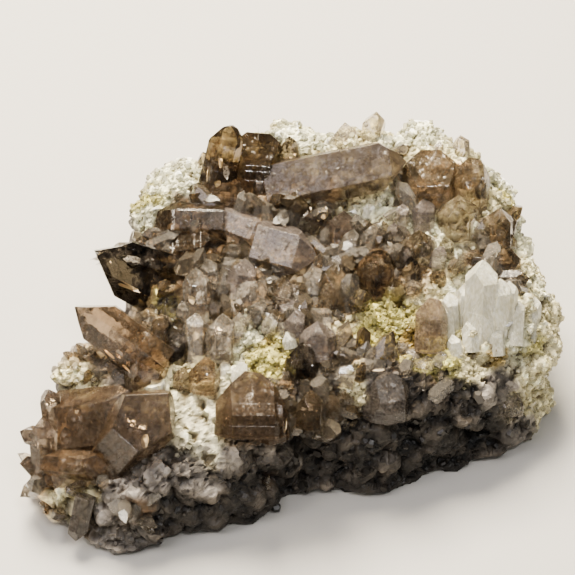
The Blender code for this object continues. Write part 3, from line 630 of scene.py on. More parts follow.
# %% Crystals: the table of the solids
CRYSTALS = {
    "great_prism": {
        "main": Crystal((-3.6, 22.4, 31.0), (21.2, 24.4, 36.0), 8.4, -18, flat=0.56),
        "under": Crystal((-7.5, 20.0, 27.5), (6.0, 16.0, 28.5), 4.6, 20),
        "slope": Crystal((9.0, 12.6, 25.5), (9.8, 17.8, 30.5), 5.6, 15),
    },
    "crown_cluster": {
        "point": Crystal((-13.2, 22.2, 28.0), (-9.6, 30.5, 40.0), 6.4, 12, worn=True),
        "block": Crystal((-6.3, 23.0, 28.0), (-4.9, 31.4, 40.3), 7.4, 8, cut_down=3.2, chisel=0),
        "foot": Crystal((-10.5, 18.5, 27.0), (-9.8, 24.0, 33.5), 6.2, 10),
        "pale": Crystal((-16.6, 22.0, 26.0), (-14.3, 25.0, 32.0), 4.8, 25),
        "rim": Crystal((0.4, 28.2, 29.5), (0.3, 31.4, 36.0), 3.6, 20),
    },
    "dark_point": {
        "main": Crystal((-20.3, 4.1, 22.8), (-35.4, 8.0, 30.8), 8.6, 30, cut_down=2.6, flat=0.5, chisel=1),
        "back": Crystal((-17.5, 8.4, 24.2), (-30.0, 8.0, 29.4), 5.6, 20),
        "west": Crystal((-20.3, -1.4, 21.5), (-19.3, 4.0, 27.0), 5.0, 10),
        "low": Crystal((-18.6, -8.4, 19.5), (-18.3, -3.2, 26.0), 4.8, 15, cut_down=2.0),
    },
    "golden_point": {
        "main": Crystal(
            (-21.5, -10.7, 20.8), (-37.2, -3.1, 30.0), 7.4, -30, cut_down=2.6, flat=0.8, chisel=2,
        ),
        "stubby": Crystal((-23.5, -12.7, 16.5), (-23.6, -8.4, 25.5), 7.6, 8, worn=True),
    },
    "nose_cluster": {
        "main": Crystal((-38.1, -17.0, 13.2), (-21.0, -20.8, 20.0), 10.0, -2, cut_down=3.0, flat=0.8),
        "end": Crystal((-29.1, -21.4, 10.8), (-19.5, -22.3, 27.2), 9.8, 0, cut_down=2.8),
        "under": Crystal((-38.5, -23.6, 8.5), (-24.5, -25.2, 12.5), 6.0, 20),
        "slip": Crystal((-40.0, -23.2, 11.0), (-29.5, -26.8, 14.0), 4.6, 0),
        "post": Crystal((-40.2, -24.2, 8.0), (-40.8, -19.2, 18.0), 4.4, 15),
        "west_point": Crystal((-39.3, -17.5, 11.0), (-39.8, -15.4, 20.5), 3.4, 30),
        "west_tip": Crystal((-38.0, -19.3, 10.5), (-44.6, -20.8, 16.0), 3.0, 0),
        "west_lump": Crystal((-39.0, -22.5, 8.0), (-45.0, -23.2, 10.5), 3.4, 30),
    },
    "south_prism": {
        "main": Crystal((-33.6, -29.0, 9.0), (-35.4, -33.4, 2.5), 3.4, 30),
    },
    "brown_lens": {
        "upper": Crystal((-11.1, 16.4, 28.6), (-24.1, 16.9, 28.6), 6.8, 5, worn=True),
        "lower": Crystal((-20.5, 12.0, 24.5), (-9.5, 11.4, 28.0), 7.0, 25),
        "knob": Crystal((-21.9, 13.6, 24.5), (-23.1, 14.4, 28.6), 4.0, 0, worn=True),
    },
    "lilac_cluster": {
        "striated": Crystal((-5.3, 12.5, 27.5), (5.6, 8.5, 27.5), 8.2, -6, flat=0.7),
        "upper": Crystal((-12.9, 17.5, 29.0), (-3.4, 12.4, 29.0), 5.0, -4, flat=0.7),
        "small": Crystal((-5.6, 12.5, 24.5), (-5.0, 16.0, 29.8), 3.0, 10),
        "brown": Crystal((-8.4, 2.2, 24.0), (-7.2, 7.0, 29.5), 5.0, 20),
        "low": Crystal((0.4, 0.8, 22.5), (-0.1, 4.4, 27.5), 5.4, 10, cut_down=2.4),
    },
    "clear_cluster": {
        "facet": Crystal((-12.8, 4.0, 24.0), (-14.0, 6.8, 29.5), 3.4, 20),
        "post": Crystal((-15.3, -2.0, 21.0), (-15.7, 4.2, 30.0), 4.6, 10),
        "slant": Crystal((-11.5, -1.4, 21.0), (-3.6, 3.4, 27.5), 5.0, 20),
        "brown_left": Crystal((-15.5, -8.5, 20.0), (-15.5, -2.8, 26.0), 4.0, 0),
        "brown_right": Crystal((-11.3, -8.5, 20.5), (-11.0, -3.3, 26.5), 4.6, 15),
    },
    "orange_crystal": {
        "main": Crystal((-14.0, -13.8, 19.5), (-13.6, -11.2, 24.5), 5.2, 12, worn=True),
    },
    "front_crystal": {
        "main": Crystal(
            (-6.2, -21.8, 17.5), (-5.8, -14.8, 26.5), 11.6, 8, cut_down=1.6, flat=0.85, worn=True,
        ),
        "clear": Crystal((-2.2, -22.5, 17.0), (-3.0, -19.8, 23.5), 4.4, 10),
    },
    "white_pair": {
        "left": Crystal((1.1, -7.1, 22.0), (1.5, -3.3, 27.5), 3.6, 20),
        "right": Crystal((5.1, -9.4, 22.0), (5.1, -5.0, 27.6), 5.4, 180, cut_down=2.1),
    },
    "dark_round": {
        "main": Crystal((2.4, -12.5, 20.5), (2.6, -9.4, 26.0), 5.6, 10, worn=True),
    },
    "red_crystal": {
        "main": Crystal((3.5, -21.8, 19.0), (3.9, -18.4, 24.0), 4.0, 20),
    },
    "pink_crystal": {
        "main": Crystal((24.2, -6.1, 21.0), (24.4, -1.2, 28.8), 5.4, 15, worn=True),
    },
    "milky_cluster": {
        "main": Crystal((32.6, -4.2, 18.5), (32.8, 2.4, 33.5), 5.4, 25),
        "west": Crystal((28.6, -3.2, 18.5), (27.4, 0.6, 27.5), 3.2, 10),
        "mid": Crystal((30.7, -2.4, 19.0), (30.4, 1.2, 29.5), 3.4, 0),
        "east": Crystal((35.7, -3.4, 18.5), (36.0, 0.8, 30.5), 4.0, 20),
        "tip": Crystal((37.7, -3.0, 18.5), (37.6, 1.2, 29.5), 3.0, 0),
    },
    "east_cluster": {
        "block": Crystal((25.2, 20.9, 28.5), (25.2, 27.6, 39.2), 8.8, 4, cut_down=3.0, chisel=0),
        "beige": Crystal((32.0, 20.4, 28.0), (32.5, 26.0, 36.5), 6.8, 10, worn=True),
        "front": Crystal((30.0, 15.2, 27.0), (29.8, 19.4, 34.2), 6.6, 176, cut_down=2.4),
        "round": Crystal((36.6, 13.0, 26.0), (36.6, 17.2, 33.0), 5.6, 195, cut_down=2.2),
        "bar": Crystal((31.0, 13.9, 27.0), (39.6, 13.4, 28.4), 3.8, 10),
    },
    "east_slab": {
        "slab": Crystal((30.6, 9.4, 25.0), (40.6, 8.8, 27.0), 4.8, 0),
        "sliver": Crystal((34.0, 6.0, 25.0), (41.8, 5.0, 26.2), 3.2, 20),
    },
    "sparkle_block": {
        "main": Crystal((14.9, 4.4, 24.0), (15.5, 8.5, 31.5), 7.4, 12, worn=True),
        "pyramid": Crystal((18.8, 1.6, 22.0), (18.0, 2.8, 28.8), 3.4, 30),
    },
    "tan_crystal": {
        "main": Crystal((8.1, 0.8, 22.5), (8.7, 6.4, 30.0), 5.2, 20, cut_down=1.5),
    },
    "dark_sliver": {
        "main": Crystal((21.4, 2.0, 22.5), (21.2, 7.2, 29.5), 2.8, 0),
    },
    "sparkle_east": {
        "main": Crystal((23.0, 8.6, 25.5), (22.5, 12.4, 32.2), 5.4, 186, cut_down=2.1),
    },
    "grey_slip": {
        "main": Crystal((19.6, 14.6, 27.0), (20.2, 18.0, 32.0), 3.0, 0),
        "east": Crystal((23.8, 15.4, 26.5), (23.9, 19.0, 32.5), 4.0, 15),
    },
    "rim_clear": {
        "tan": Crystal((10.4, 32.4, 29.5), (10.3, 35.4, 36.0), 5.0, 10),
        "clear": Crystal((14.6, 33.0, 29.5), (16.0, 35.2, 38.5), 4.0, 15),
    },
    "rim_east": {
        "main": Crystal((31.6, 30.4, 28.5), (31.0, 32.8, 35.0), 3.2, 20),
    },
    "grey_crystal": {
        "main": Crystal((16.7, -15.7, 16.0), (16.4, -13.0, 23.5), 8.2, 14, worn=True),
    },
    "east_milky": {
        "main": Crystal((42.0, -1.5, 16.5), (42.6, 3.4, 23.5), 2.8, 0),
    },
}
print("crystals in the table:", sum(len(members) for members in CRYSTALS.values()))

# %% [markdown]
# One specimen shows a dozen looks of the same mineral, from nearly black to milky. Each cluster is given
# the one that it shows in the photograph, and what isn't listed is smoky. The looks themselves come later,
# as materials.

# %% Crystals: which look each cluster has
FINISH = {
    "dark_point": "dark", "dark_round": "dark", "dark_sliver": "dark",
    "crown_cluster": "brown", "brown_lens": "brown", "sparkle_block": "brown", "red_crystal": "brown",
    "great_prism": "satin", "nose_cluster": "soft", "front_crystal": "soft",
    "golden_point": "golden", "orange_crystal": "golden",
    "lilac_cluster": "lilac", "white_pair": "lilac", "grey_slip": "lilac", "pink_crystal": "rosy",
    "clear_cluster": "clear", "rim_clear": "clear", "rim_east": "clear", "grey_crystal": "grey",
    "south_prism": "grey", "milky_cluster": "milky", "east_milky": "milky",
    "east_cluster": "beige", "tan_crystal": "beige",
}
# The solids know fewer kinds of quartz than the finishes here
print("looks:", sorted(set(FINISH.values())))

# %% [markdown]
# Crystals that grew into each other share their inside, and a wall left between them would show through
# the clear quartz. So the members of a cluster are joined with a Boolean union, after which the faces are
# cut into a net of about 0.8 mm and pushed in and out by a few hundredths of a millimetre: no natural face
# is a mirror.

# %% Crystals: join, ripple and place
NET = 0.8 * MM
RIPPLE = 0.025  # mm
LONG_WAVE = 2.3  # mm
SHORT_WAVE = 0.9  # mm
SHORT_SHARE = 0.5  # how high the short waves are beside the long ones


def union(whole, piece):
    """Grows one object's mesh together with another's."""
    modifier = whole.modifiers.new("union", "BOOLEAN")
    modifier.operation = "UNION"
    modifier.solver = "EXACT"
    modifier.use_self = True
    modifier.object = piece
    mesh = with_modifiers(whole)
    whole.modifiers.clear()
    whole.data = mesh


def ripple(mesh):
    """Cuts the faces into a net and gives them the slight waves of natural growth."""
    shape = bmesh.new()
    shape.from_mesh(mesh)
    for axis in range(3):
        low = min(vertex.co[axis] for vertex in shape.verts)
        high = max(vertex.co[axis] for vertex in shape.verts)
        normal = Vector([1.0 if i == axis else 0.0 for i in range(3)])
        for cut in range(1, int((high - low) / NET)):
            bmesh.ops.bisect_plane(
                shape, geom=everything(shape), dist=SAME_POINT,
                plane_co=normal * (low + cut * NET), plane_no=normal,
            )
    bmesh.ops.triangulate(shape, faces=shape.faces)
    shape.normal_update()
    moves = []
    for vertex in shape.verts:
        point = vertex.co / MM
        wave = noise.noise(point / LONG_WAVE) + SHORT_SHARE * noise.noise(point / SHORT_WAVE)
        moves.append(vertex.normal * wave * RIPPLE * MM)
    for vertex, move in zip(shape.verts, moves):
        vertex.co += move
    shape.to_mesh(mesh)
    shape.free()


quartz_pieces = {}
for cluster, members in CRYSTALS.items():
    whole = None
    for member, crystal in members.items():
        label = f"{cluster}_{member}"
        lines = LINES_IF_WORN if crystal.worn else LINES
        piece = bpy.data.objects.new(label, crystal_mesh(label, crystal, lines))
        bpy.context.scene.collection.objects.link(piece)
        if whole is None:
            whole = piece
            continue
        union(whole, piece)
        bpy.data.objects.remove(piece)
    ripple(whole.data)
    finish = FINISH.get(cluster, "smoky")
    mesh = whole.data
    bpy.data.objects.remove(whole)
    made = new_piece(f"{cluster}_crystals", mesh)
    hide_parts(cluster)
    quartz_pieces[cluster] = (made, finish)
crystal_triangles = sum(triangles(made.data) for made, _ in quartz_pieces.values())
print("crystals:", len(quartz_pieces), "pieces,", crystal_triangles, "triangles")

# %% [markdown]
# ## Small crystals by the thousand
# Between the large crystals grow hundreds of small ones, and the pale crust is made of thousands more,
# under a millimetre across. Placing them by hand is hopeless and instances wouldn't survive an export, so
# a few crystals are cut as patterns and their points are stamped out as one joined mesh with array
# arithmetic. Where they may grow is read from the rock: each of its faces has an area, a normal and its
# shares of tones.

# %% Small crystals: patterns and stamping
PATTERN_ROOT = 0.5 * MM
STAMP_LIMITS = (0.01, 0.95)


def pattern(label, length, blunt):
    """A crystal 1 mm wide as an array of points and an array of triangles."""
    model = Crystal(None, None, 1.0, 0, cut_down=blunt)
    shape = cut_crystal(label, model, length * MM, PATTERN_ROOT)
    bmesh.ops.triangulate(shape, faces=shape.faces)
    bmesh.ops.recalc_face_normals(shape, faces=shape.faces)
    shape.verts.index_update()
    points = np.array([list(vertex.co) for vertex in shape.verts])
    corners = np.array([[vertex.index for vertex in face.verts] for face in shape.faces])
    shape.free()
    return points, corners


def stamp(name, patterns, chosen, frames, tones):
    """One joined piece: copy i has the pattern chosen[i], the place frames[i] and the colour tones[i]."""
    points, corners, colours = [], [], []
    start = 0
    for index, (form, faces) in enumerate(patterns):
        mine = np.flatnonzero(chosen == index)
        placed = np.einsum("nij,pj->npi", frames[mine][:, :3, :3], form) + frames[mine][:, None, :3, 3]
        starts = start + np.arange(len(mine))[:, None, None] * len(form)
        points.append(placed.reshape(-1, 3))
        corners.append((faces[None] + starts).reshape(-1, 3))
        colours.append(np.repeat(tones[mine], len(form), axis=0))
        start += len(mine) * len(form)
    mesh = bpy.data.meshes.new(name)
    mesh.from_pydata(np.vstack(points).tolist(), [], np.vstack(corners).tolist())
    lay_tones(mesh, np.clip(np.vstack(colours), *STAMP_LIMITS))
    print(name, len(chosen), "crystals,", len(mesh.polygons), "triangles")
    return new_piece(name, mesh)


# %% Small crystals: where they grow
CRYSTAL_MARGIN = 0.92  # how far from a large crystal's axis, in radii, a small one counts as inside it
BELOW_FOOT = 2 * MM
MORE_SMALL = 2.2  # the power that makes most crystals small
LOOKED_AT = 0.7  # where along a crystal it is asked whether it lies inside a large one
LOWEST_POINT = 0.3 * MM
FOOT_ROOM = 0.6  # how many widths a foot stays off the surface that the rock rests on

face_corners = np.array([polygon.vertices[0] for polygon in rock_mesh.polygons])
face_middles = np.array([list(polygon.center) for polygon in rock_mesh.polygons])
face_normals = np.array([list(polygon.normal) for polygon in rock_mesh.polygons])
face_areas = np.array([polygon.area for polygon in rock_mesh.polygons])
face_shares = rock_shares[face_corners]
crystal_spots = [
    (*ends_of(one), one.width / 2 * MM) for members in CRYSTALS.values() for one in members.values()
]


def inside_crystals(points):
    """Which of many points lie inside one of the large crystals."""
    inside = np.zeros(len(points), bool)
    for foot, tip, radius in crystal_spots:
        axis = np.array((tip - foot).normalized())
        length = (tip - foot).length
        along = (points - np.array(foot)) @ axis
        off = np.linalg.norm(points - np.array(foot) - along[:, None] * axis, axis=1)
        taper = np.clip((length - along) / radius, 0.0, 1.0)
        near = off < radius * CRYSTAL_MARGIN * np.sqrt(taper)
        inside |= (along > -BELOW_FOOT) & (along < length) & near
    return inside


def grow(name, patterns, density, width, stretch, tilt, sunk, tints, seed):
    """Scatters crystals on the rock.

    density is how many there are on each square millimetre of every face; width gives the smallest and
    largest width in mm, with more of the small; stretch is the length in widths; tilt is how far they lean
    off the normal; sunk is the part of the length that is under the surface; tints gives each face its two
    colours to choose between."""
    chance = np.random.default_rng(seed)
    expected = density * face_areas / MM ** 2
    count = chance.poisson(expected)
    where = np.repeat(np.arange(len(count)), count)
    small, large = width
    sizes = small + (large - small) * chance.random(len(where)) ** MORE_SMALL
    lean = face_normals[where] + chance.normal(0.0, tilt, (len(where), 3))
    lean /= np.linalg.norm(lean, axis=1, keepdims=True)
    heights = sizes * chance.uniform(*stretch, len(where))
    spots = face_middles[where] - lean * (heights * sunk * MM)[:, None]
    keep = ~inside_crystals(spots + lean * (heights * LOOKED_AT * MM)[:, None])
    keep &= spots[:, 2] + lean[:, 2] * heights * MM > LOWEST_POINT
    keep &= spots[:, 2] > sizes * FOOT_ROOM * MM
    where, sizes, spots, lean, heights = where[keep], sizes[keep], spots[keep], lean[keep], heights[keep]
    side = np.cross(lean, chance.normal(size=(len(where), 3)))
    side /= np.linalg.norm(side, axis=1, keepdims=True)
    frames = np.zeros((len(where), 4, 4))
    frames[:, :3, 0] = side * sizes[:, None]
    frames[:, :3, 1] = np.cross(lean, side) * sizes[:, None]
    frames[:, :3, 2] = lean * heights[:, None]
    frames[:, :3, 3] = spots
    blend = chance.random((len(where), 1))
    low, high = tints
    tones = low[where] * blend + high[where] * (1.0 - blend)
    return stamp(name, patterns, chance.integers(0, len(patterns), len(where)), frames, tones)


def even_tint(hex_colour):
    """The same colour for every face of the rock."""
    return np.tile(linear(hex_colour)[:3], (len(face_areas), 1))


print("faces of the rock to grow on:", len(face_areas), "large crystals:", len(crystal_spots))

# %% [markdown]
# Each tone of the rock has its own growth. Brown and clear crystals stand in the brown parts, on what
# faces up. The white and the stained crust is a sugar of tiny ones, and the dark wall has a few dull ones.

# %% Small crystals: let them grow
TAUPE_SHARE = 0.4  # taupe ground grows this much of what brown ground and the wall grow
GROWS_FROM = -0.2  # added to the upward part, so that steep ground stays bare
GROWS_BY = 2.2
upward = np.clip(face_normals[:, 2] * GROWS_BY + GROWS_FROM, 0.0, 1.0)
brown_here = share_of(face_shares, "brown", "umber") + TAUPE_SHARE * share_of(face_shares, "taupe")
white_here = share_of(face_shares, "white", "bone")
stained_here = share_of(face_shares, "moss", "ochre")
wall_here = share_of(face_shares, "slate_and_shade", "grey") + TAUPE_SHARE * share_of(face_shares, "taupe")
ground_tone = face_shares @ PALETTE
short_patterns = [pattern(f"short {i}", 0.9 + 0.12 * i, 0.15 * (i % 3)) for i in range(6)]
long_patterns = [pattern(f"long {i}", 1.1 + 0.2 * i, 0.2 * (i % 3)) for i in range(6)]
smoky_tints = (even_tint("#A08E72"), even_tint("#F4EDE0"))
brown_growth = grow(
    "brown_small_crystals", long_patterns, 0.75 * brown_here * upward, (0.8, 3.0), (0.8, 1.7), 0.7, 0.35,
    smoky_tints, 11,
)
glints = grow(
    "clear_small_crystals", long_patterns, 0.8 * brown_here * upward, (0.35, 1.1), (0.8, 1.6), 0.8, 0.2,
    (even_tint("#F4ECDC"), even_tint("#DDCBAE")), 14,
)
white_growth = grow(
    "white_crust", short_patterns, 1.3 * white_here, (0.35, 1.05), (0.5, 1.0), 0.5, 0.2,
    (ground_tone * 0.8, ground_tone * 1.3), 12,
)
stained_growth = grow(
    "stained_crust", short_patterns, 2.4 * stained_here, (0.35, 0.95), (0.5, 1.0), 0.5, 0.2,
    (ground_tone * 0.6, ground_tone * 1.4), 15,
)
wall_growth = grow(
    "wall_crystals", short_patterns, 0.10 * wall_here, (0.6, 1.7), (0.4, 0.8), 0.6, 0.45,
    (ground_tone * 0.6, ground_tone * 1.5), 13,
)

# %% [markdown]
# ## The crystals of middle size
# Between the big crystals and the scattered ones stand about sixty of 2 to 6 mm that an eye comparing with
# the photograph would miss. Each is named by the pixel where it leaves the rock, the pixel of its point,
# how far it rises and its width. The first pixel is cast on the rock, and the second gives the direction
# in which it leans.

# %% Middle-sized crystals: by pixel
LESSER = {
    "smoky": (
        # foot across and down, point across and down, rise in mm, width in mm, worn
        (229, 256, 233, 239, 2.6, 3.2, True), (243, 258, 246, 240, 2.8, 3.4, False),
        (256, 258, 258, 243, 2.4, 2.8, True), (281, 300, 284, 274, 3.6, 3.8, False),
        (298, 296, 300, 280, 2.6, 3.0, True), (175, 352, 178, 334, 2.6, 2.8, False),
        (160, 334, 163, 312, 3.0, 3.0, True), (150, 318, 152, 303, 2.4, 2.4, False),
        (322, 434, 326, 412, 3.4, 3.6, True), (209, 348, 207, 330, 2.6, 2.8, False),
        (505, 234, 510, 213, 3.0, 3.0, False), (482, 236, 484, 216, 2.8, 3.0, True),
        (362, 292, 358, 274, 2.6, 2.8, False), (398, 262, 395, 244, 2.6, 2.8, True),
        (446, 254, 444, 236, 2.6, 2.8, False), (300, 232, 322, 226, 0.8, 2.4, False),
        (188, 226, 186, 208, 2.6, 2.8, True), (166, 246, 170, 230, 2.2, 2.4, False),
    ),
    "golden": (
        (330, 414, 333, 392, 3.4, 3.6, True), (344, 404, 347, 386, 2.8, 3.0, False),
        (80, 424, 78, 404, 2.8, 2.8, False), (93, 436, 91, 417, 2.8, 3.0, True),
        (70, 444, 67, 426, 2.4, 2.4, False), (181, 384, 183, 366, 2.6, 2.8, True),
        (318, 396, 322, 378, 2.8, 2.8, True),
    ),
    "clear": (
        (313, 290, 317, 263, 3.6, 3.8, True), (331, 300, 330, 282, 2.6, 2.6, False),
        (350, 250, 354, 228, 3.0, 3.0, False), (238, 334, 240, 312, 3.0, 3.0, False),
        (256, 318, 263, 298, 2.8, 2.8, True), (214, 300, 212, 280, 2.8, 2.6, False),
        (370, 240, 373, 224, 2.4, 2.6, True), (505, 410, 507, 380, 4.2, 6.0, True),
        (270, 330, 273, 312, 2.4, 2.6, False), (346, 290, 349, 272, 2.6, 2.6, True),
        (184, 318, 182, 300, 2.4, 2.4, False), (372, 276, 371, 262, 1.8, 1.8, False),
        (413, 360, 408, 347, 1.8, 3.2, True), (425, 366, 428, 353, 1.6, 3.0, True),
        (438, 362, 446, 350, 1.8, 2.8, True), (403, 352, 398, 340, 1.6, 2.4, False),
    ),
    "lilac": (
        (259, 190, 259, 175, 2.6, 1.8, False), (405, 264, 409, 246, 2.6, 2.6, False),
        (437, 264, 441, 244, 2.8, 2.8, True), (426, 254, 430, 238, 2.4, 2.2, False),
        (283, 275, 270, 271, 0.6, 2.2, False), (392, 236, 394, 222, 2.2, 2.0, False),
        (311, 342, 309, 328, 2.2, 2.2, True), (340, 272, 344, 258, 2.2, 2.2, False),
    ),
    "milky": (
        (447, 334, 444, 300, 4.6, 2.8, False), (486, 320, 490, 270, 6.0, 2.6, False),
        (516, 342, 518, 300, 5.4, 2.6, False), (472, 348, 470, 316, 4.2, 3.0, False),
        (456, 354, 452, 334, 2.8, 2.4, False), (497, 352, 496, 326, 3.4, 2.8, False),
        (240, 378, 242, 360, 2.4, 3.0, True), (226, 374, 224, 360, 2.0, 2.4, True),
        (368, 214, 370, 202, 1.8, 2.2, True), (290, 344, 286, 330, 2.0, 2.4, True),
    ),
}


MOST_TURN = 40  # degrees; how far one is turned comes from its pixel


def lesser_crystal(across, down, tip_across, tip_down, rise, width, worn):
    """A crystal whose foot stands on the rock under one pixel and whose point is in line with another."""
    foot, _ = on_rock(across, down)
    sight = ray(tip_across, tip_down)
    tip = eye + sight * ((foot.z + rise * MM - eye.z) / sight.z)
    turn = (across + down) % MOST_TURN
    return Crystal(foot / MM + PLAN_MIDDLE, tip / MM + PLAN_MIDDLE, width, turn, worn=worn)


lesser_pieces = {}
for finish, rows in LESSER.items():
    joined = bmesh.new()
    for number, row in enumerate(rows):
        if on_rock(*row[:2])[0] is None:
            print("no rock under", row)
            continue
        mesh = crystal_mesh(f"lesser {finish} {number}", lesser_crystal(*row), LINES_IF_WORN)
        joined.from_mesh(mesh)
        bpy.data.meshes.remove(mesh)
    bmesh.ops.triangulate(joined, faces=joined.faces)
    name = f"lesser_{finish}_crystals"
    lesser_pieces[finish] = new_piece(name, finished_mesh(name, joined))
print("middle-sized:", sum(triangles(piece.data) for piece in lesser_pieces.values()), "triangles")

# %% [markdown]
# ## Veils inside the crystals
# Clear quartz is never empty. Old cracks have healed into curtains of tiny bubbles, and fresh ones hold a
# film of air that flashes like metal when it faces the light. Without them a model crystal looks like
# glass. Both are thin bent lenses: a flattened ball, pushed about by noise, anywhere inside the crystal.

# %% Veils: where they lie
VEIL_THICKNESS = 0.05 * MM
VEIL_SIZE = (0.22, 0.46)  # radius as a part of the crystal's width
VEIL_ALONG = (0.12, 0.86)  # from foot to point
VEIL_ROOM = 0.9  # the part of the crystal's radius that a veil may reach
POINT_ROOM = 0.8  # how much of that room is left for each radius that the point is away
VEIL_FITS = 0.95
EXTRA_FROM = 6.0  # mm; a crystal wider than this has one veil more
FAR_APART = 50.0  # two veils read the noise at places up to this far from its origin
# A lens's outline wanders round a mean radius, and it is bent by a part of its half width
OUTLINE_MEAN = 0.75
OUTLINE_WAVE = 0.4
OUTLINE_PACE = 1.3
BEND = 0.25
BEND_PACE = 0.8


def add_lens(shape, place, across, down, seed):
    """Adds a thin bent lens with two half widths, in the plane and at the middle that the matrix gives."""
    made = bmesh.ops.create_icosphere(shape, subdivisions=2, radius=1.0)
    for vertex in made["verts"]:
        x, y, z = vertex.co
        level = Vector((x, y, 0.0))
        edge = OUTLINE_MEAN + OUTLINE_WAVE * noise.noise(level * OUTLINE_PACE + seed)
        bend = noise.noise(level * BEND_PACE - seed) * BEND * min(across, down)
        vertex.co = place @ Vector((x * edge * across, y * edge * down, z * VEIL_THICKNESS + bend))


def add_veil(shape, chance, one):
    """Adds one bent lens inside a crystal."""
    foot, tip = ends_of(one)
    length = (tip - foot).length
    radius = one.width / 2 * MM
    along = chance.uniform(*VEIL_ALONG)
    room = radius * min(1.0, (1.0 - along) * length / radius * POINT_ROOM) * VEIL_ROOM
    size = min(one.width * MM * chance.uniform(*VEIL_SIZE), room * VEIL_FITS)
    angle = chance.uniform(0.0, 2 * math.pi)
    off = (room - size) * chance.random()
    frame = crystal_frame(foot, tip, one.turn)
    middle = frame @ Vector((math.cos(angle) * off, math.sin(angle) * off, along * length))
    tipped = Matrix.Rotation(chance.uniform(0, math.pi), 4, "X")
    rolled = Matrix.Rotation(chance.uniform(0, math.pi), 4, "Y")
    place = Matrix.Translation(middle) @ (tipped @ rolled)
    seed = Vector([chance.uniform(-FAR_APART, FAR_APART) for _ in range(3)])
    add_lens(shape, place, size, size, seed)


def veil_piece(name, clusters, seed):
    """The veils of some clusters as one joined piece, one for each crystal and two for a wide one."""
    chance = random.Random(seed)
    shape = bmesh.new()
    for cluster in clusters:
        for one in CRYSTALS[cluster].values():
            for _ in range(1 + int(one.width > EXTRA_FROM)):
                add_veil(shape, chance, one)
    mesh = finished_mesh(name, shape)
    print(name, triangles(mesh), "triangles")
    return new_piece(name, mesh)


see_through = [cluster for cluster in CRYSTALS if FINISH.get(cluster, "smoky") not in ("milky", "lilac")]
bubble_veils = veil_piece("bubble_veils", see_through, "bubbles")
air_cracks = veil_piece("air_cracks", see_through, "air")

# %% [markdown]
# Some of them the eye goes to first: the gold window under the long prism, the bright panes in the highest
# point, the gold strip and the white cloud in the dark point. They are placed by pixel just under the face
# that the line of sight meets, and lie so that they throw the soft light at the left back at the camera.

# %% Veils: windows and clouds by pixel
WINDOW_DEPTH = 0.6 * MM  # under a crystal's face
WINDOW_OVER_ROCK = 0.7 * MM
WINDOW_NORMAL = Vector((-0.181, -0.511, 0.840))  # half way between the camera and that light
PANE_STRIDE = 7.3  # how far apart two panes read the noise
WINDOWS = (
    # pixel across and down, half width and half height in mm, turn in degrees
    (303, 210, 2.6, 0.9, -6), (325, 213, 0.9, 1.4, 0), (209, 174, 0.6, 1.9, -12),
    (218, 184, 0.8, 0.8, 0), (221, 163, 0.5, 1.1, 0), (129, 287, 3.0, 0.45, -26),
    (110, 354, 1.6, 0.4, -48), (127, 368, 1.4, 0.3, -48), (77, 412, 0.5, 0.5, 0),
    (192, 300, 0.7, 1.0, 20), (232, 303, 0.5, 1.2, 30), (377, 370, 2.6, 0.3, 0),
    (145, 441, 0.8, 1.5, 0), (285, 425, 0.4, 1.8, -6), (318, 220, 0.5, 0.5, 0),
)
CLOUDS = (
    (132, 260, 2.2, 0.9, -16), (150, 262, 1.4, 0.8, -10), (226, 172, 0.9, 1.8, 10), (200, 298, 1.2, 1.6, 0),
    (238, 305, 1.8, 1.2, 20), (307, 346, 1.0, 0.5, 0), (248, 400, 2.0, 0.9, 60), (120, 352, 1.0, 0.5, -45),
)
crystal_trees = [sight_tree(made.data) for made, _ in quartz_pieces.values()]


def under_face(across, down):
    """Point just under the first large crystal in the line of sight, or else just over the rock."""
    sight = ray(across, down)
    hits = [tree.ray_cast(eye, sight) for tree in crystal_trees]
    far = [hit[3] for hit in hits if hit[0] is not None]
    if far:
        return eye + sight * (min(far) + WINDOW_DEPTH)
    return on_rock(across, down)[0] - sight * WINDOW_OVER_ROCK


def panes(name, rows):
    """Lenses placed by pixel, as one joined piece."""
    shape = bmesh.new()
    level = Vector((1.0, 0.0, 0.0)) - WINDOW_NORMAL * WINDOW_NORMAL.x
    level.normalize()
    plane = Matrix((level, WINDOW_NORMAL.cross(level), WINDOW_NORMAL)).transposed().to_4x4()
    for number, (across, down, half_width, half_height, turn) in enumerate(rows):
        turned = Matrix.Rotation(math.radians(turn), 4, "Z")
        place = Matrix.Translation(under_face(across, down)) @ plane @ turned
        seed = Vector((number * PANE_STRIDE, 2.0, 5.0))
        add_lens(shape, place, half_width * MM, half_height * MM, seed)
    mesh = finished_mesh(name, shape)
    print(name, triangles(mesh), "triangles")
    return new_piece(name, mesh)


bright_windows = panes("bright_windows", WINDOWS)
white_clouds = panes("white_clouds", CLOUDS)

# %% [markdown]
# ## Quartz as a material
# Quartz is a clear mineral that mirrors only weakly: its index of refraction is 1.544. Smoky quartz takes
# its brown from the inside, so the colour is an absorption in the volume, and thick places are darker than
# thin ones. Here and there it is cloudy, with hairline cracks and trapped fluid that scatter the light. A
# second, matt shader stands for that, mixed in by a noise of a few millimetres, so that one end of a
# crystal can be clear and the other milky. In milky quartz the clouds are drawn out along the upright
# crystals.
# A natural face is also a mosaic: patches of it are made of half-millimetre facets that lean a few degrees
# apart and catch the light one by one. A Voronoi pattern gives each of them its own lean.

# %% Material: quartz
# Least and most cloud, its two colours, the colour that the inside lets through and how much it takes away
# for each metre, the least and most roughness, how far the clouds are drawn out, and the lean of the
# mosaic's facets
Quartz = namedtuple("Quartz", "cloud dark light absorbed density gloss stretch mosaic")
QUARTZ_IOR = 1.544
MOSAIC = 0.55 * MM
CLOUD_SIZE = 2.6 * MM
SPECK_SIZE = 0.35 * MM
PITS = 0.05 * MM
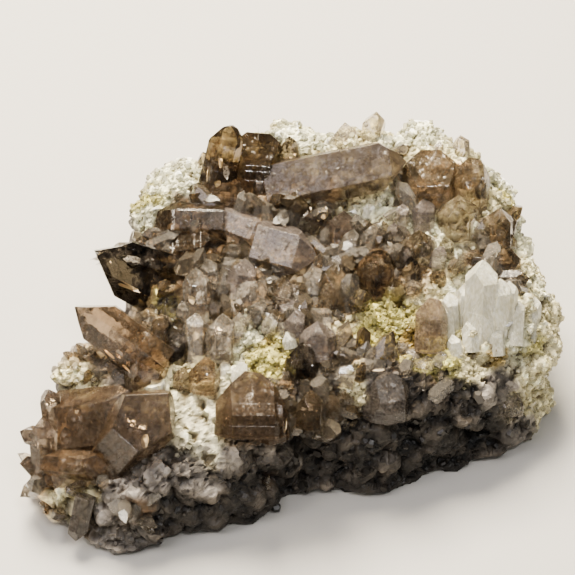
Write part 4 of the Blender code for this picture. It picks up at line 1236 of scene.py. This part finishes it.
# Where in the noise each thing begins and is full
CLOUD_FROM_TO = (0.42, 0.68)
GLOSS_FROM_TO = (0.30, 0.70)
MOSAIC_FROM_TO = (0.45, 0.60)
SPECKS_FROM_TO = (0.35, 0.65)
QUARTZ = {
    # Smoky quartz, grown: brown like weak tea, clear in the thin places
    "smoky": Quartz((0.08, 0.32), "#635642", "#948670", "#BAAC8C", 145, (0.05, 0.22), 1.0, 0.30),
    # Smoky quartz, grown: nearly black where it is thick, with sharp mirrored glints
    "dark": Quartz((0.00, 0.25), "#38312A", "#8A7E70", "#A09884", 520, (0.02, 0.12), 1.0, 0.15),
    # Smoky quartz, grown: deep brown, with an even skin
    "brown": Quartz((0.12, 0.30), "#463A2C", "#6E5F4A", "#AE9B7E", 300, (0.06, 0.20), 1.0, 0.12),
    # Smoky quartz, etched: a skin of fine pits gives its faces a silk sheen
    "satin": Quartz((0.28, 0.42), "#50463D", "#776B5F", "#B4A48A", 200, (0.14, 0.26), 1.0, 0.20),
    # Golden smoky quartz, etched: a warm glow under a dull skin
    "soft": Quartz((0.24, 0.42), "#4E4031", "#7D6954", "#B59E7C", 200, (0.16, 0.30), 1.0, 0.12),
    # Golden smoky quartz, grown: clear honey brown with bright edges
    "golden": Quartz((0.10, 0.36), "#6A5945", "#A08E76", "#BFA57E", 240, (0.03, 0.16), 1.0, 0.20),
    # Smoky quartz, grown: pale tan, half clear
    "beige": Quartz((0.12, 0.40), "#6C5F4B", "#9E8F76", "#BEAC8A", 190, (0.05, 0.22), 1.0, 0.25),
    # Cloudy quartz, etched: grey with a breath of lilac, and a broad sheen
    "lilac": Quartz((0.28, 0.55), "#7A7069", "#A3988F", "#C0AA8C", 90, (0.16, 0.32), 1.0, 0.30),
    # Cloudy quartz, etched: the same with a warm tint
    "rosy": Quartz((0.30, 0.60), "#85735F", "#BBA78E", "#C4AF92", 90, (0.16, 0.32), 1.0, 0.30),
    # Cloudy quartz, broken: dull grey, with light only in its edges
    "grey": Quartz((0.35, 0.60), "#443F3A", "#766E66", "#A69C8E", 200, (0.12, 0.30), 1.0, 0.30),
    # Rock crystal, grown: water clear, with white clouds
    "clear": Quartz((0.10, 0.40), "#A89C8A", "#DDD5C6", "#D8C8A8", 60, (0.03, 0.14), 1.0, 0.30),
    # Milky quartz, grown: white streaks along the crystal, and little gloss
    "milky": Quartz((0.55, 0.92), "#DAD6BC", "#FBF9EC", "#F0EAD4", 20, (0.14, 0.36), 0.15, 0.20),
}


def ranged(tree, value, from_to, low=0.0, high=1.0):
    """A value that runs from low to high while a noise runs over its part."""
    made = node(tree, "ShaderNodeMapRange", {
        "Value": value, "From Min": from_to[0], "From Max": from_to[1], "To Min": low, "To Max": high,
    })
    return made.outputs["Result"]


def mosaic_normal(tree, place, mottle, lean):
    """The normal of a face that is a mosaic in patches: each cell leans its own way."""
    cells = node(tree, "ShaderNodeTexVoronoi", {"Vector": place, "Scale": 1 / MOSAIC})
    middle = (0.5, 0.5, 0.5)
    aside = node(tree, "ShaderNodeVectorMath", {0: cells.outputs["Color"], 1: middle}, operation="SUBTRACT")
    patches = ranged(tree, mottle, MOSAIC_FROM_TO, high=2 * lean)
    tilt = node(
        tree, "ShaderNodeVectorMath", {0: aside.outputs["Vector"], "Scale": patches}, operation="SCALE",
    )
    surface = node(tree, "ShaderNodeNewGeometry").outputs["Normal"]
    tilted = node(tree, "ShaderNodeVectorMath", {0: surface, 1: tilt.outputs["Vector"]}, operation="ADD")
    facets = node(tree, "ShaderNodeVectorMath", {0: tilted.outputs["Vector"]}, operation="NORMALIZE")
    return facets.outputs["Vector"]


def quartz(name, kind):
    """Quartz of one kind: clear and cloudy parts over an inside that takes light away."""
    material = new_material(name)
    tree = material.node_tree
    place = node(tree, "ShaderNodeTexCoord").outputs["Object"]
    drawn = node(
        tree, "ShaderNodeMapping", {"Vector": place, "Scale": (1.0, 1.0, kind.stretch)},
    ).outputs["Vector"]
    mottle = node(tree, "ShaderNodeTexNoise", {
        "Vector": drawn, "Scale": 1 / CLOUD_SIZE, "Detail": 6.0, "Roughness": 0.7,
    }).outputs["Fac"]
    cloud = ranged(tree, mottle, CLOUD_FROM_TO, *kind.cloud)
    specks = node(
        tree, "ShaderNodeTexNoise", {"Vector": drawn, "Scale": 1 / SPECK_SIZE, "Detail": 3.0},
    ).outputs["Fac"]
    colour = node(
        tree, "ShaderNodeMix",
        {0: ranged(tree, specks, SPECKS_FROM_TO), 6: linear(kind.dark), 7: linear(kind.light)},
        data_type="RGBA",
    )
    gloss = ranged(tree, mottle, GLOSS_FROM_TO, *kind.gloss)
    pitted = node(tree, "ShaderNodeBump", {
        "Height": specks, "Strength": 0.3, "Distance": PITS,
        "Normal": mosaic_normal(tree, drawn, mottle, kind.mosaic),
    }).outputs["Normal"]
    clear = node(tree, "ShaderNodeBsdfPrincipled", {
        "Base Color": linear("#FBF7F0"), "Roughness": gloss, "IOR": QUARTZ_IOR,
        "Transmission Weight": 1.0, "Normal": pitted,
    })
    matt = node(tree, "ShaderNodeBsdfPrincipled", {
        "Base Color": colour.outputs[2], "Roughness": 0.35, "IOR": QUARTZ_IOR, "Normal": pitted,
    })
    both = node(tree, "ShaderNodeMixShader", {0: cloud, 1: clear.outputs["BSDF"], 2: matt.outputs["BSDF"]})
    inside = node(
        tree, "ShaderNodeVolumeAbsorption", {"Color": linear(kind.absorbed), "Density": kind.density},
    )
    node(tree, "ShaderNodeOutputMaterial", {
        "Surface": both.outputs["Shader"], "Volume": inside.outputs["Volume"],
    })
    return material


quartz_materials = {finish: quartz(f"{finish} quartz", kind) for finish, kind in QUARTZ.items()}
for made, finish in quartz_pieces.values():
    made.data.materials.clear()
    made.data.materials.append(quartz_materials[finish])
for finish, made in lesser_pieces.items():
    made.data.materials.append(quartz_materials[finish])
print("kinds of quartz:", len(quartz_materials))

# %% [markdown]
# The veils are seen as specks, dense in one place and gone in the next, so a noise opens and closes them.
# The film of air in a crack throws nearly all the light back, and a metallic finish that is let through in
# part gives that. Bubbles scatter the light instead, so a veil of them is matt and white.

# %% Material: veils and cracks
CURTAIN_SIZE = 1.5 * MM
# Where in the noise a veil begins and is full: one inside a crystal, a window and a cloud under a face
THIN_VEIL = (0.24, 0.36)
FULL_WINDOW = (0.08, 0.14)
DENSE_CLOUD = (0.18, 0.30)


def veil(piece, name, colour, metallic, roughness, grain, reach, opening):
    """Gives a piece a film that a noise opens and closes, with grains of some millimetres."""
    material = new_material(name)
    tree = material.node_tree
    place = node(tree, "ShaderNodeTexCoord").outputs["Object"]
    curtain = node(tree, "ShaderNodeTexNoise", {"Vector": place, "Scale": 1 / CURTAIN_SIZE, "Detail": 2.0})
    specks = node(tree, "ShaderNodeTexNoise", {"Vector": place, "Scale": 1 / (grain * MM), "Detail": 4.0})
    joined = node(
        tree, "ShaderNodeMath", {0: curtain.outputs["Fac"], 1: specks.outputs["Fac"]}, operation="MULTIPLY",
    )
    shader = node(tree, "ShaderNodeBsdfPrincipled", {
        "Base Color": linear(colour), "Metallic": metallic, "Roughness": roughness,
        "Alpha": ranged(tree, joined.outputs["Value"], opening, high=reach),
    })
    node(tree, "ShaderNodeOutputMaterial", {"Surface": shader.outputs["BSDF"]})
    piece.data.materials.append(material)


# Healed cracks look like smoke, and open ones like foil
veil(bubble_veils, "healed crack of fine bubbles", "#EFE9DF", 0.0, 0.4, 0.25, 0.6, THIN_VEIL)
veil(air_cracks, "film of air in a crack", "#FFF4E2", 1.0, 0.12, 0.9, 0.5, THIN_VEIL)
# Seen through brown quartz a film of air is gold, and a cloud of bubbles cream
veil(bright_windows, "film of air under a face", "#FFE9BE", 1.0, 0.28, 0.9, 0.9, FULL_WINDOW)
veil(white_clouds, "cloud of bubbles under a face", "#F6F1E8", 0.0, 0.5, 0.3, 0.8, DENSE_CLOUD)
print("veils dressed")

# %% [markdown]
# ## The rock's material
# The crust is granular quartz and feldspar: matt from a step away, with a glint here and there. The tone
# comes from the attribute laid down before. A Voronoi pattern of 0.8 mm makes each grain lighter or
# darker, glossier or duller than its neighbour, and a noise of half a millimetre roughens them all.

# %% Material: vein rock
GRAIN = 0.8 * MM
GRAIN_TONE = (0.72, 1.28)
GRAIN_GLOSS = (0.35, 0.85)
GRIT = 0.5 * MM
GRIT_DEPTH = 0.25 * MM
VEIN_IOR = 1.52  # feldspar's
WHOLE = (0.0, 1.0)


def toned(tree, lightness):
    """The colour kept in the mesh, made lighter or darker."""
    tone = node(tree, "ShaderNodeAttribute", attribute_name="tone").outputs["Color"]
    made = node(tree, "ShaderNodeVectorMath", {0: tone, "Scale": lightness}, operation="SCALE")
    return made.outputs["Vector"]


def grainy_rock(name):
    """Granular rock in the tones that its mesh keeps."""
    material = new_material(name)
    tree = material.node_tree
    place = node(tree, "ShaderNodeTexCoord").outputs["Object"]
    grains = node(tree, "ShaderNodeTexVoronoi", {"Vector": place, "Scale": 1 / GRAIN})
    value = node(tree, "ShaderNodeSeparateColor", {"Color": grains.outputs["Color"]})
    grit = node(tree, "ShaderNodeTexNoise", {"Vector": place, "Scale": 1 / GRIT, "Detail": 4.0})
    rough = node(tree, "ShaderNodeBump", {
        "Height": grit.outputs["Fac"], "Strength": 0.6, "Distance": GRIT_DEPTH,
    })
    shader = node(tree, "ShaderNodeBsdfPrincipled", {
        "Base Color": toned(tree, ranged(tree, value.outputs["Red"], WHOLE, *GRAIN_TONE)),
        "Roughness": ranged(tree, value.outputs["Green"], WHOLE, *GRAIN_GLOSS),
        "IOR": VEIN_IOR, "Normal": rough.outputs["Normal"],
    })
    node(tree, "ShaderNodeOutputMaterial", {"Surface": shader.outputs["BSDF"]})
    return material


vein_rock.data.materials.clear()
vein_rock.data.materials.append(grainy_rock("granular vein rock"))
print("rock's material:", vein_rock.data.materials[0].name)

# %% [markdown]
# The small crystals of the crust are too thin to show an inside, so their material leaves out the
# absorption and takes its colour from the stamped tone. A part of the light goes through them, which gives
# the crust its sugary glow.

# %% Material: crust of small crystals
MISTS = 0.7 * MM
MIST_TONE = (0.7, 1.3)


def crust(name, clear_share, gloss):
    """Small quartz that lets a share of the light through, with its least and most roughness."""
    material = new_material(name)
    tree = material.node_tree
    place = node(tree, "ShaderNodeTexCoord").outputs["Object"]
    mist = node(
        tree, "ShaderNodeTexNoise", {"Vector": place, "Scale": 1 / MISTS, "Detail": 3.0},
    ).outputs["Fac"]
    shader = node(tree, "ShaderNodeBsdfPrincipled", {
        "Base Color": toned(tree, ranged(tree, mist, WHOLE, *MIST_TONE)),
        "Roughness": ranged(tree, mist, WHOLE, *gloss),
        "IOR": QUARTZ_IOR, "Transmission Weight": clear_share,
    })
    node(tree, "ShaderNodeOutputMaterial", {"Surface": shader.outputs["BSDF"]})
    return material


# Sugar grains: milky, with a fine sparkle
sugary = crust("sugary quartz crust", 0.35, (0.15, 0.45))
white_growth.data.materials.append(sugary)
stained_growth.data.materials.append(sugary)
# Etched grains on the broken wall: hardly a glint
wall_growth.data.materials.append(crust("dull wall quartz", 0.25, (0.2, 0.55)))
# Clean little crystals: see-through, with sharp glints
brown_growth.data.materials.append(crust("small smoky quartz", 0.88, (0.04, 0.2)))
glints.data.materials.append(crust("small clear quartz", 0.92, (0.0, 0.12)))
print("crusts dressed")

# %% [markdown]
# ## Floor, sky and lights
# The floor is plain and pale. A large soft light stands above and behind the specimen, so that light comes
# through the crystals towards the camera and the wall at the front stays in shade. Level facets would
# throw its image back as white plates, so it isn't mirrored; a weaker one at the left gives the faces that
# lean that way their even sheen, two small ones the glints, and a faint one fills the front.

# %% Stage: floor and sky
FLOOR_REACH = 3.0  # metres to each side
FLOOR_GAP = 0.2 * MM  # keeps the floor from showing through the rock's underside
floor_shape = bmesh.new()
bmesh.ops.create_grid(floor_shape, x_segments=1, y_segments=1, size=FLOOR_REACH)
floor_mesh = finished_mesh("floor", floor_shape)
floor = bpy.data.objects.new("floor", floor_mesh)
floor.location.z = -FLOOR_GAP
bpy.context.scene.collection.objects.link(floor)
floor_material = bpy.data.materials.new("pale card")
floor_material.use_nodes = True
floor_shader = floor_material.node_tree.nodes["Principled BSDF"]
floor_shader.inputs["Base Color"].default_value = linear("#C6C4BF")
floor_shader.inputs["Roughness"].default_value = 0.7
floor_mesh.materials.append(floor_material)

world = bpy.data.worlds.new("studio")
world.use_nodes = True
sky = world.node_tree.nodes["Background"]
sky.inputs["Color"].default_value = linear("#CFCCC6")
sky.inputs["Strength"].default_value = 0.16
bpy.context.scene.world = world
bpy.context.scene.view_settings.look = "AgX - Medium High Contrast"
print("floor:", 2 * FLOOR_REACH, "metres wide")

# %% Stage: lights
LIT_MIDDLE = Vector((0.0, 0.0, 20 * MM))


def soft_light(name, azimuth, elevation, distance, size, power, colour, mirrored=True):
    """A square soft light that faces the specimen.

    The azimuth, where 0 is the front and 90 the right, and the elevation are in degrees, the distance and
    the light's side in metres, and the power in watts. One that isn't mirrored lights without showing its
    image."""
    lamp = bpy.data.objects.new(name, bpy.data.lights.new(name, "AREA"))
    lamp.data.size = size
    lamp.data.energy = power
    lamp.data.color = linear(colour)[:3]
    a, e = math.radians(azimuth), math.radians(elevation)
    away = Vector((math.sin(a) * math.cos(e), -math.cos(a) * math.cos(e), math.sin(e)))
    lamp.location = LIT_MIDDLE + away * distance
    lamp.rotation_euler = away.to_track_quat("Z", "Y").to_euler()
    lamp.visible_glossy = mirrored
    bpy.context.scene.collection.objects.link(lamp)


soft_light("key", 200, 58, 0.6, 0.30, 14.0, "#FFF3DF", mirrored=False)
soft_light("sheen", 301, 62, 0.6, 0.28, 1.05, "#F8F2F8")
soft_light("side", 292, 38, 0.7, 0.16, 1.2, "#FFF8EC")
soft_light("sparkle", 30, 62, 0.7, 0.10, 1.2, "#FFFFFF")
soft_light("front", 0, 50, 0.7, 0.36, 0.6, "#FFF9F6")
print("lights:", len(bpy.data.lights))
